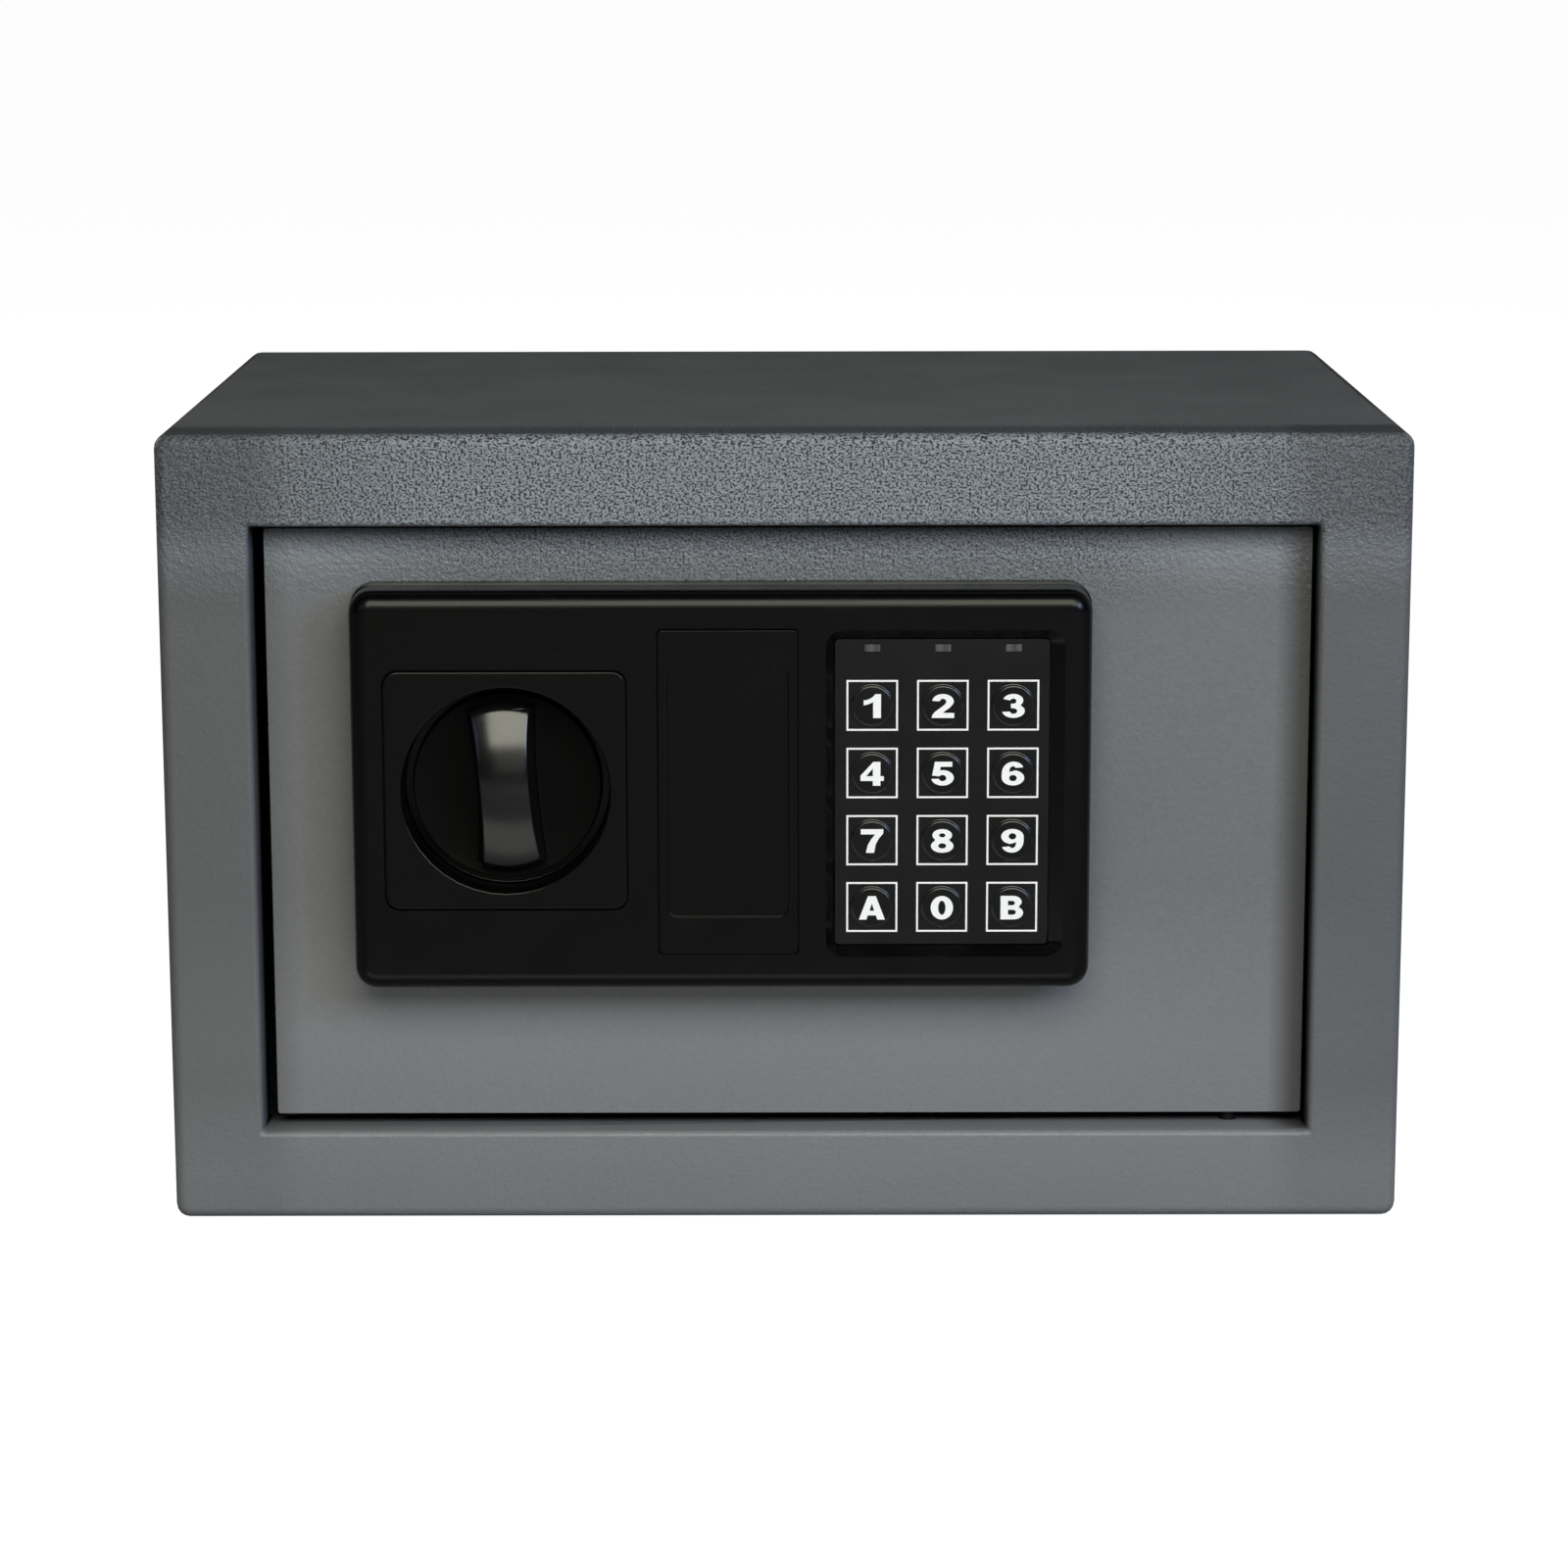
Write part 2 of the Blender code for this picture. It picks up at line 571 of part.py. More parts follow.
def make_panel(pivot):
    """The moulded panel with its key pocket and keypad window, the knob's escutcheon, the cover."""
    def panel_ring(inset, depth):
        low = (PANEL_LEFT + inset, PANEL_LOW + inset)
        high = (PANEL_RIGHT - inset, PANEL_HIGH - inset)
        return ring_points(rounded(low, high, PANEL_CORNER - inset, 6), depth)

    base_front = 0.0030
    rings = [
        panel_ring(-0.0004, PANEL_REAR), panel_ring(-0.0004, base_front),
        panel_ring(0.0003, base_front - 0.0002), panel_ring(0.0003, base_front - 0.0008),
        panel_ring(0, base_front - 0.0010),
    ]
    for step in range(6):
        angle = math.radians(90 * step / 5)
        inset = PANEL_FILLET * (1 - math.cos(angle))
        rings.append(panel_ring(inset, PANEL_FACE + PANEL_FILLET * (1 - math.sin(angle))))
    housing = add("panel_housing", loft(rings, "panel_housing"), "black_plastic", pivot)

    boolean(housing, plate(
        rounded((PANEL_LEFT + PANEL_WALL, PANEL_LOW + PANEL_WALL),
                (PANEL_RIGHT - PANEL_WALL, PANEL_HIGH - PANEL_WALL), 0.003, 2),
        PANEL_FACE + PANEL_WALL, PANEL_REAR + 0.01,
    ))
    boolean(housing, cover_block(GAP, PANEL_FACE + 0.001, WELL_FLOOR + FLOOR_THICKNESS), "UNION")
    boolean(housing, cover_block(GAP, PANEL_FACE - 0.01, PANEL_FACE + 0.0022))
    boolean(housing, block(
        (COVER_X - POCKET_HALF_WIDTH, PANEL_FACE - 0.01, COVER_Z - POCKET_HALF_HEIGHT),
        (COVER_X + POCKET_HALF_WIDTH, WELL_FLOOR, COVER_Z + POCKET_HALF_HEIGHT),
    ))
    boolean(housing, cylinder(*LOCK_AXIS, LOCK_HOLE_RADIUS, WELL_FLOOR - 0.004, 0.012))
    boolean(housing, tile_block(GAP, PANEL_FACE - 0.01, TILE_BACK + GAP))
    boolean(housing, cylinder(KNOB_X, KNOB_Z, CUP_RADIUS + GAP, PANEL_FACE - 0.001, 0.010, 40))

    escutcheon = add("knob_escutcheon", tile_block(0, PANEL_FACE - TILE_RISE, TILE_BACK),
                     "black_plastic", pivot)
    cup = cylinder(KNOB_X, KNOB_Z, CUP_RADIUS, PANEL_FACE, WELL_FLOOR + FLOOR_THICKNESS, 40)
    boolean(escutcheon, cup, "UNION")
    boolean(escutcheon, cylinder(KNOB_X, KNOB_Z, WELL_RADIUS, PANEL_FACE - 0.01, WELL_FLOOR, 40))
    boolean(escutcheon, cylinder(KNOB_X, KNOB_Z, 0.0056, WELL_FLOOR - 0.004, 0.012))

    def window_ring(outset_x, outset_z, shift, radius, depth):
        x, z = KEYPAD_CENTRE[0] + shift, KEYPAD_CENTRE[1]
        half_width, half_height = KEYPAD_HALF_WIDTH + outset_x, KEYPAD_HALF_HEIGHT + outset_z
        low, high = (x - half_width, z - half_height), (x + half_width, z + half_height)
        return ring_points(rounded(low, high, radius, 4), depth)

    boolean(housing, loft([
        window_ring(0.0036, 0.0033, WINDOW_SHIFT * 1.2, 0.0048, PANEL_FACE - 0.001),
        window_ring(0.0030, 0.0027, WINDOW_SHIFT, 0.0042, PANEL_FACE),
        window_ring(GAP, GAP, 0, 0.0012, KEYPAD_FACE - 0.0002),
        window_ring(GAP, GAP, 0, 0.0012, KEYPAD_FACE + 0.005),
    ], "window"))

    cover_pivot = empty("override_cover_slide", (COVER_X, world_y(PANEL_FACE), COVER_Z), pivot)
    cover_front = PANEL_FACE - COVER_RISE
    cover = add("override_cover", cover_block(0, cover_front, PANEL_FACE + 0.0019),
                "black_plastic", cover_pivot)
    boolean(cover, plate(
        rounded((COVER_X - 0.0149, COVER_Z - 0.0313), (COVER_X + 0.0149, COVER_Z + 0.0313), 0.0022, 3),
        cover_front - 0.001, cover_front + 0.0004,
    ))


def make_keypad(pivot):
    """The keypad plate, its twelve keys, three indicator lenses and the board behind."""
    x, z = KEYPAD_CENTRE
    keypad = add("keypad_plate", plate(
        rounded((x - KEYPAD_HALF_WIDTH, z - KEYPAD_HALF_HEIGHT),
                (x + KEYPAD_HALF_WIDTH, z + KEYPAD_HALF_HEIGHT), 0.0009, 2),
        KEYPAD_FACE, KEYPAD_FACE + 0.0022,
    ), "keypad_plastic", pivot)
    key_holes = [
        cylinder(column, row, KEY_HOLE_RADIUS, KEYPAD_FACE - 0.001, KEYPAD_FACE + 0.004, 20)
        for row in KEY_ROWS for column in KEY_COLUMNS
    ]
    lens_holes = [
        block((column - LENS_HALF_WIDTH - GAP, KEYPAD_FACE - 0.001, LENS_HEIGHT - LENS_HALF_HEIGHT - GAP),
              (column + LENS_HALF_WIDTH + GAP, KEYPAD_FACE + 0.004, LENS_HEIGHT + LENS_HALF_HEIGHT + GAP))
        for column in KEY_COLUMNS
    ]
    boolean(keypad, joined(key_holes + lens_holes))
    for number, column in enumerate(KEY_COLUMNS, 1):
        add(f"status_lens_{number}", block(
            (column - LENS_HALF_WIDTH, KEYPAD_FACE, LENS_HEIGHT - LENS_HALF_HEIGHT),
            (column + LENS_HALF_WIDTH, KEYPAD_FACE + 0.0035, LENS_HEIGHT + LENS_HALF_HEIGHT),
        ), "lens", pivot)
    add("keypad_board", block((0.0130, -0.0010, 0.0745), (0.0660, 0.0006, 0.1500)), "circuit_board", pivot)

    key = [
        (0, 0), (0.0041, 0.00015), (0.0050, 0.0007), (0.0052, 0.0034),
        (0.0060, 0.0034), (0.0060, 0.0052), (0, 0.0052),
    ]
    for names, row in zip(KEY_NAMES, KEY_ROWS):
        for label, column in zip(names, KEY_COLUMNS):
            place = (column, world_y(KEYPAD_FACE - KEY_RISE), row)
            key_pivot = empty(f"press_{label}", place, pivot)
            add(f"key_{label}", turned(key, place, "Y", 16), "keypad_plastic", key_pivot)


def hourglass(waist, end, half_length, steps=8):
    """Outline of a bar narrower at its middle, with round ends."""
    right = []
    for step in range(steps + 1):
        along = -half_length + 2 * half_length * step / steps
        right.append((waist + (end - waist) * (along / half_length) ** 2, along))
    return right + [(-x, -z) for x, z in right]


def make_knob(pivot):
    """The knob with its finger scoops, its shaft and the drive cam inside the door."""
    knob_pivot = empty("knob_turn", (KNOB_X, world_y(PANEL_FACE), KNOB_Z), pivot)
    crown, skirt, back = CROWN_DEPTH, SKIRT_DEPTH, WELL_FLOOR - GAP
    profile = [(0, crown)]
    for step in range(1, 9):
        angle = math.radians(90 * step / 9)
        profile.append((DOME_RADIUS * math.sin(angle), skirt + (crown - skirt) * math.cos(angle)))
    profile += [(DOME_RADIUS, skirt + 0.0004), (DOME_RADIUS, 0.0010), (0, 0.0010)]
    middle = (KNOB_X, world_y(0), KNOB_Z)
    knob = add("knob", turned(profile, middle, "Y", 40), "gloss_plastic", knob_pivot)
    rings = []
    for depth, waist, end in ((crown - 0.002, 0.0054, 0.0072), (skirt + 0.0015, 0.0076, 0.0118)):
        points = []
        for x, z in hourglass(waist, end, 0.0235):
            turned_x = x * math.cos(GRIP_LEAN) - z * math.sin(GRIP_LEAN)
            turned_z = x * math.sin(GRIP_LEAN) + z * math.cos(GRIP_LEAN)
            points.append((KNOB_X + turned_x, KNOB_Z + turned_z))
        rings.append(ring_points(points, depth))
    boolean(knob, loft(rings, "grip"), "INTERSECT")
    flange = [
        (0, skirt + 0.0006), (0.0120, skirt + 0.0004), (0.0180, skirt - 0.0004),
        (0.0222, skirt - 0.0012), (0.0232, skirt - 0.0006), (0.0234, skirt + 0.0004),
        (0.0234, back), (0, back),
    ]
    boolean(knob, turned(flange, middle, "Y", 40), "UNION")
    shaft_front, shaft_back = -0.0060, 0.0225
    boolean(knob, cylinder(KNOB_X, KNOB_Z, SHAFT_BORE_RADIUS, shaft_front - GAP, 0.01))
    add("knob_shaft", cylinder(KNOB_X, KNOB_Z, SHAFT_RADIUS, shaft_front, shaft_back, 20),
        "bare_steel", knob_pivot)

    hub_radius, end_radius = 0.0085, 0.0045
    arm = []
    for step in range(11):
        angle = math.radians(180 + 180 * step / 10)
        arm.append((hub_radius * math.cos(angle), hub_radius * math.sin(angle)))
    for step in range(7):
        angle = math.radians(180 * step / 6)
        arm.append((end_radius * math.cos(angle), CAM_RADIUS + end_radius * math.sin(angle)))
    turn = CAM_REST_ANGLE - math.radians(90)
    outline = [
        (KNOB_X + x * math.cos(turn) - z * math.sin(turn),
         KNOB_Z + x * math.sin(turn) + z * math.cos(turn))
        for x, z in arm
    ]
    cam = add("drive_cam", plate(outline, 0.018, 0.022), "zinc", knob_pivot)
    pin_x = KNOB_X + CAM_RADIUS * math.cos(CAM_REST_ANGLE)
    pin_z = KNOB_Z + CAM_RADIUS * math.sin(CAM_REST_ANGLE)
    boolean(cam, cylinder(pin_x, pin_z, CAM_PIN_RADIUS, 0.020, BAR_BACK + 0.0008, 16), "UNION")
    boolean(cam, cylinder(KNOB_X, KNOB_Z, SHAFT_BORE_RADIUS, 0.015, 0.025, 20))


def make_bolt_work(pivot):
    """The sliding bar with two round bolts. The cam pin moves in its upright slot."""
    bar_pivot = empty("bolt_slide", (BOLT_TIP, world_y(BOLT_CENTRE_DEPTH), KNOB_Z), pivot)
    left, right, tail = -0.100, -0.054, -0.0264
    bottom, top = 0.066, 0.160
    tooth, notch, tail_top = 0.096, 0.101, 0.108
    notch_left = BLOCKING_PIN_X - BLOCKING_PIN_RADIUS
    outline = [
        (left, bottom), (right, bottom), (right, tooth), (notch_left, tooth),
        (notch_left, notch), (notch_left + 0.005, notch), (notch_left + 0.010, tooth),
        (tail, tooth), (tail, tail_top), (right, tail_top), (right, top), (left, top),
    ]
    bar = add("bolt_bar", plate(outline, BAR_FRONT, BAR_BACK), "bare_steel", bar_pivot)
    slot_x = KNOB_X + CAM_RADIUS * math.cos(CAM_REST_ANGLE)
    slot_half = CAM_PIN_RADIUS + 0.0004
    boolean(bar, plate(
        rounded((slot_x - slot_half, KNOB_Z + 0.0088), (slot_x + slot_half, KNOB_Z + 0.0174), 0.0028),
        BAR_FRONT - 0.003, BAR_BACK + 0.003,
    ))
    length = BOLT_REAR - BOLT_TIP
    profile = [
        (0, 0), (BOLT_RADIUS - 0.001, 0), (BOLT_RADIUS, 0.001), (BOLT_RADIUS, length), (0, length),
    ]
    for name, z in BOLT_HEIGHTS.items():
        place = (BOLT_TIP, world_y(BOLT_CENTRE_DEPTH), z)
        bolt = add(name, turned(profile, place, "X", 24), "bare_steel", bar_pivot)
        boolean(bolt, block(
            (left - GAP, BAR_FRONT - GAP, z - 0.02), (BOLT_REAR + 0.01, BAR_BACK + GAP, z + 0.02),
        ))


def make_override_lock(pivot):
    """The key-operated emergency lock behind the lift-off cover."""
    x, z = LOCK_AXIS
    flange_radius, flange_back = 0.0110, WELL_FLOOR - GAP
    body_back = 0.0270
    body = [
        (PLUG_BORE_RADIUS, -0.0003), (flange_radius, -0.0003), (flange_radius, flange_back),
        (LOCK_RADIUS, flange_back), (LOCK_RADIUS, body_back), (PLUG_BORE_RADIUS, body_back),
    ]
    add("override_lock_body", turned(body, (x, world_y(0), z), "Y", 24), "zinc", pivot)
    nut_radius = 0.0135
    corners = [math.radians(60 * side + 30) for side in range(6)]
    outline = [(x + nut_radius * math.cos(a), z + nut_radius * math.sin(a)) for a in corners]
    nut = add("override_lock_nut", plate(outline, DOOR_BACK + GAP, DOOR_BACK + 0.0043), "zinc", pivot)
    boolean(nut, cylinder(x, z, LOCK_HOLE_RADIUS, 0.005, 0.020))
    plug_pivot = empty("override_plug_turn", (x, world_y(0), z), pivot)
    chamfer = 0.0004
    spigot_radius, spigot_back = 0.0040, 0.0310
    shoulder = body_back + 0.0002
    plug_profile = [
        (0, -0.0006), (PLUG_RADIUS - chamfer, -0.0006), (PLUG_RADIUS, chamfer - 0.0006),
        (PLUG_RADIUS, shoulder), (spigot_radius, shoulder), (spigot_radius, spigot_back), (0, spigot_back),
    ]
    plug = add("override_lock_plug", turned(plug_profile, (x, world_y(0), z), "Y", 24), "brass", plug_pivot)
    boolean(plug, block((x - 0.0007, -0.002, z - 0.0038), (x + 0.0007, 0.018, z + 0.0038)))
    half, end_half, drop = 0.0065, 0.004, 0.020
    arm = [
        (half, 0.004), (-half, 0.004), (-half, -0.002),
        (-end_half, -drop), (end_half, -drop), (half, -0.002),
    ]
    cam_front, cam_back = shoulder + GAP, shoulder + GAP + 0.0022
    outline = [(x + u, z + w) for u, w in arm]
    cam = add("override_cam", plate(outline, cam_front, cam_back), "zinc", plug_pivot)
    boolean(cam, cylinder(x, z, PLUG_BORE_RADIUS, cam_front, cam_back, 20), "UNION")
    boolean(cam, cylinder(x, z, spigot_radius + GAP, 0.025, 0.035, 20))


def make_solenoid(pivot):
    """The solenoid whose sprung pin blocks the bar."""
    depth = BOLT_CENTRE_DEPTH
    x = BLOCKING_PIN_X
    front, back = DOOR_BACK + GAP, 0.034
    bottom, top, half, wall = 0.060, 0.086, 0.010, 0.0015
    frame = add("solenoid_frame", block((x - half, front, bottom), (x + half, back, top)), "zinc", pivot)
    boolean(frame, block((x - 0.02, front + wall, bottom + wall), (x + 0.02, back + 0.01, top - wall)))
    pin_bore = BLOCKING_PIN_RADIUS + 0.0004
    boolean(frame, upright(x, depth, pin_bore, bottom - 0.01, top + 0.01))
    low, high = bottom + wall + GAP, top - wall - GAP
    cheek, cheek_radius, winding_radius, length = 0.0012, 0.0092, 0.0080, high - low
    coil = [
        (pin_bore, 0), (cheek_radius, 0), (cheek_radius, cheek), (winding_radius, cheek),
        (winding_radius, length - cheek), (cheek_radius, length - cheek), (cheek_radius, length),
        (pin_bore, length),
    ]
    add("solenoid_coil", turned(coil, (x, world_y(depth), low), "Z", 20), "copper", pivot)
    pin_pivot = empty("solenoid_release", (x, world_y(depth), top), pivot)
    collar = 0.0900
    collar_top, tip = collar + 0.0012, 0.0955
    pin = [
        (0, 0.0640), (BLOCKING_PIN_RADIUS, 0.0640), (BLOCKING_PIN_RADIUS, collar),
        (0.0046, collar), (0.0046, collar_top), (0.0020, collar_top),
        (0.0020, tip - 0.0005), (0.0015, tip), (0, tip),
    ]
    add("solenoid_pin", turned(pin, (x, world_y(depth), 0), "Z", 16), "bare_steel", pin_pivot)
    turns, spring_radius = 3.5, 0.0040
    low, high = top + GAP + SPRING_WIRE, collar - GAP - SPRING_WIRE
    count = int(turns * 12)
    coil_points = []
    for step in range(count + 1):
        angle = 2 * math.pi * turns * step / count
        coil_points.append(Vector((
            x + spring_radius * math.cos(angle), world_y(depth) + spring_radius * math.sin(angle),
            low + (high - low) * step / count,
        )))
    tube("solenoid_spring", coil_points, SPRING_WIRE, "bare_steel", pin_pivot)


def make_leads(pivot):
    """The rubber grommet in the door plate and the two leads that pass through it."""

    grommet_x, grommet_z = GROMMET
    grommet = [
        (0.0030, 0.0056), (0.0066, 0.0056), (0.0066, 0.0067), (0.0049, 0.0067),
        (0.0049, 0.0103), (0.0066, 0.0103), (0.0066, 0.0114), (0.0030, 0.0114),
    ]
    add("cable_grommet", turned(grommet, (grommet_x, world_y(0), grommet_z), "Y", 20), "rubber", pivot)
    lead_routes = {
        "solenoid_lead": ((0.0240, 0.0022, 0.0850), (0.0150, 0.0040, 0.0838), (0.0120, 0.0062, 0.0836),
                          (0.0120, 0.0112, 0.0836), (0.0080, 0.0150, 0.0825), (-0.0050, 0.0185, 0.0760),
                          (-0.0190, 0.0225, 0.0730), (-0.0293, 0.0245, 0.0730)),
        "battery_lead": ((0.0240, 0.0022, 0.0900), (0.0150, 0.0040, 0.0870), (0.0120, 0.0062, 0.0864),
                         (0.0120, 0.0112, 0.0864), (0.0150, 0.0148, 0.0870), (0.0280, 0.0160, 0.0920),
                         (0.0420, 0.0170, 0.1020), (0.0460, 0.0190, 0.1090)),
    }
    for name, route in lead_routes.items():
        points = [Vector((px, world_y(pd), pz)) for px, pd, pz in route]
        tube(name, smooth_route(points, 0.0028), LEAD_RADIUS, "rubber", pivot, sides=2)


def main():
    clear_scene()
    make_case()
    pivot = empty("door_swing", (HINGE_X, world_y(HINGE_DEPTH), 0))
    make_door(pivot)
    make_inner_cover(pivot)
    make_panel(pivot)
    make_keypad(pivot)
    make_knob(pivot)
    make_bolt_work(pivot)
    make_override_lock(pivot)
    make_solenoid(pivot)
    make_leads(pivot)


main()
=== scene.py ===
"""Looks of the small electronic in-room safe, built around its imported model.

Everything is in metres in the model's own frame: +X right, +Y back, +Z up, origin at the
centre of the case's base. The model's nodes keep their shape and get rounded edges and
materials. The knob, the keys, the indicator windows and the floor mat are made anew in
detail, and the keys' print and the weld bead round the back panel are added.
"""
import json
import math

import bmesh
import bpy
from mathutils import Matrix, Vector, noise

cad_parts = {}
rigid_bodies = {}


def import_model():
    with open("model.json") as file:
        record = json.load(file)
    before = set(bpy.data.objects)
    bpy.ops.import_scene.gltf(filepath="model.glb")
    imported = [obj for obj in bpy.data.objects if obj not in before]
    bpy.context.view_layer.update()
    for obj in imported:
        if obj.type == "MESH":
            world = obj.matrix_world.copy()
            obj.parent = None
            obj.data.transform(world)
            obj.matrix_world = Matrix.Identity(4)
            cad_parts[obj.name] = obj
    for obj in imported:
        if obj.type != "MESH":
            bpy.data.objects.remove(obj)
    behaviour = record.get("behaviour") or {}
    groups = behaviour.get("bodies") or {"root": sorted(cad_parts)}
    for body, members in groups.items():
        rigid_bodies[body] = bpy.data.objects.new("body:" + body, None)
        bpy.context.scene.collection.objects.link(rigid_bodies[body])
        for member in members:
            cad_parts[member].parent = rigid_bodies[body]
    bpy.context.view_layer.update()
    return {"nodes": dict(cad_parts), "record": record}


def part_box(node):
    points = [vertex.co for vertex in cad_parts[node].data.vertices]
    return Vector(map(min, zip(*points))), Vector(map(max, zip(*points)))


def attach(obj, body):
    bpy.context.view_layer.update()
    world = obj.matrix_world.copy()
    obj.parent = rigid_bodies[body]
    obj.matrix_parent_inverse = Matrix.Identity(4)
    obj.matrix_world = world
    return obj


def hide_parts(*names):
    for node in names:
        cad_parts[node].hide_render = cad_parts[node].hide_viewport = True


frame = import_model()
NODES = frame["nodes"]

# Camera: the place, tilt and lens that put the case where it stands in the reference view
CAMERA_PLACE = (0.0002, -1.1665, 0.3286)
CAMERA_TILT = math.radians(11.452)
CAMERA_ROLL = math.radians(0.104)
CAMERA_LENS = 100.34

# Lights: dim surroundings and soft area lights (name, place, target, size, watts, colour)
WORLD_GLOW = 0.01
LIGHTS = (
    ("overhead_front", (0.1, -1.3, 1.0), (0, -0.1, 0.1), (1.3, 0.8), 17.5, (1, 0.985, 0.83)),
    ("front_mid", (0.05, -1.8, 0.45), (0, -0.1, 0.1), (1.0, 0.45), 0.7, (1, 0.985, 0.9)),
    ("right_front", (1.0, -1.1, 0.75), (0, -0.1, 0.1), (0.5, 0.5), 10.0, (0.58, 0.70, 1)),
    ("left_front", (-1.0, -1.1, 0.6), (0, -0.1, 0.1), (0.6, 0.6), 0.8, (0.5, 0.6, 1)),
    ("low_card", (-0.05, -0.21, 0.004), (-0.05, -0.2, 1.0), (0.30, 0.09), 0.06, (1, 0.98, 0.9)),
    ("back_left", (-1.3, 1.0, 0.7), (0, 0.1, 0.1), (0.6, 0.6), 4.5, (1, 1, 1)),
    ("back_right", (1.3, 1.0, 0.7), (0, 0.1, 0.1), (0.6, 0.6), 4.5, (1, 1, 1)),
)

# Floor and surroundings
FLOOR_HALF = 40.0
FLOOR_DROP = 0.0002
FLOOR_GLOW = 0.97
FLOOR_BOUNCE = (0.32, 0.32, 0.32, 1)
PAPER = (0.5, 0.5, 0.5, 1)
WHITE = (1, 1, 1, 1)

# Paint: its colours, and where its tone changes. Most of these changes are painted light and shade:
# a painted bluish sheen with dark specks along the upper front, painted bounce light low on the front,
# and painted shade on the top, at the rail's ends, on the jambs and at the door's top and right edges.
# Each span is from and to along the named axis, and "side" is the distance from the middle.
# All but the top's span act on the front only.
PAINT = (0.164, 0.168, 0.174)
# Painted sheen: a pale bluish tone for the upper front, standing in for the lamps' sheen there
UPPER_SHEEN = (0.30, 0.335, 0.38)
FRONT_Y = (-0.088, -0.080)
# Painted shade: the case's top is a little darker, as it gets less light
TOP_SHADE_Z = (0.1988, 0.1996)
# Painted light: the front is paler low down, as if lit by light bounced from the floor
LOWER_LIGHT_Z = (0.045, 0.085)
# Where the painted sheen comes in, up the front
UPPER_SHEEN_Z = (0.160, 0.178)
# Where dark specks are painted into the sheen on the rail
RAIL_SHEEN_Z = (0.172, 0.180)
# Painted shade at the rail's ends, where the light falls off
RAIL_END_SHADE_Z = (0.170, 0.180)
RAIL_END_SHADE_SIDE = (0.085, 0.150)
# Where dark specks are painted into the sheen above the panel
OVER_PANEL_SHEEN_Z = (0.152, 0.168)
OVER_PANEL_SHEEN_SIDE = (0.080, 0.105)
DOOR_FACE_Y = (-0.0985, -0.0965)
# Painted shadow on the door along its right and top edges, cast by the recess walls
DOOR_RIGHT_SHADOW_X = (0.1225, 0.1290)
DOOR_TOP_SHADOW_Z = (0.1690, 0.1750)
# Painted shade on the jambs, where the light falls off to the sides
JAMB_SHADE_SIDE = (0.122, 0.1305)
JAMB_SHADE_Z = (0.012, 0.035)
COARSE_Z = (0.155, 0.178)

# Meshes
MERGE = 0.0000008
WELD = 0.000002
FLAT_ANGLE = 0.4
CASE_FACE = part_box("case_shell")[0][1]

# Keys: a dome's rise, flat radius and edge fillet, its radius in the hole, and the print on it
KEY_LABELS = ("1", "2", "3", "4", "5", "6", "7", "8", "9", "a", "0", "b")
KEY_RISE = 0.00085
KEY_CROWN = 0.00460
KEY_FILLET = 0.00048
KEY_RADIUS = 0.00546
KEY_FOOT = 0.0050
KEY_BACK = 0.0002
KEY_FLAT = 0.985
LETTER_HEIGHT = 0.0060
LETTER_STRETCH = 1.08
LETTER_AHEAD = 0.00014
PRINT_THICKNESS = 0.00004
PRINT_LIFT = 0.000002
FRAME_SIDE = 0.0127
FRAME_LINE = 0.00045

# Indicator windows: half width, half height, chamfer, and how far they stand out
LENS_HALF_X = 0.00197
LENS_HALF_Z = 0.00094
LENS_CHAMFER = 0.00012
LENS_AHEAD = 0.00005

# Knob: heights are above the case's front face, and v runs along the grip
KNOB_RIM = 0.0231
KNOB_ROWS = 96
KNOB_EDGE = 0.0003
KNOB_EDGE_DROP = 0.0006
DISH_LOW = 0.0004
DISH_RISE = 0.0013
DISH_TOP = 0.0030
GRIP_HEIGHT = 0.0125
GRIP_FALL = 0.0056
GRIP_CROWN = 0.0006
GRIP_CROWN_AT = 0.006
GRIP_END = 0.0208
GRIP_ROUND = 0.0014
GRIP_OFFSET = 0.0004
GRIP_BOW = 0.0011
GRIP_BOW_AT = 0.0065
GRIP_LEAN = math.radians(4)
WAIST_TOP = 0.0058
WAIST_FOOT = 0.0074
WAIST_TOP_SPREAD = 0.0006
WAIST_FOOT_SPREAD = 0.0018
WAIST_AT = 0.0235
WALL_FROM = 0.0145
WALL_TALL = 0.0150
GRIP_LEAST = 0.0004
GRIP_FILLET = 0.0006
GRIP_ROOT = 0.0010
SETTLE_ROUNDS = 12

# Carpet mat, its pile's unevenness (scale, depth) and its anchor holes
MAT_COLUMNS = 150
MAT_ROWS = 88
PILE_DROP = 0.00027
PILE_EDGE = 0.0006
PILE_TUFTS = (700, 0.00012)
PILE_DENTS = (45, 0.00015)
ANCHOR_PLACES = (-0.090, 0.090)
ANCHOR_DEPTH = 0.020
ANCHOR_CUT = 0.006

# Weld bead round the back panel
SEAM_GAP = 0.0003
SEAM_LEG = 0.0012
SEAM_HOLLOW = 0.0005
SEAM_BEHIND = 0.0004
SEAM_SKIN = 0.00001

# Edge radius of each node, where it isn't the usual one
EDGE = 0.00015
EDGES = {
    "case_shell": 0.0, "back_panel": 0.0003, "panel_housing": 0.00032, "override_cover": 0.00035,
    "knob_escutcheon": 0.0006, "keypad_plate": 0.00008, "solenoid_spring": 0.0,
    "solenoid_lead": 0.0, "battery_lead": 0.0,
}


# ---------------------------------------------------------------- materials

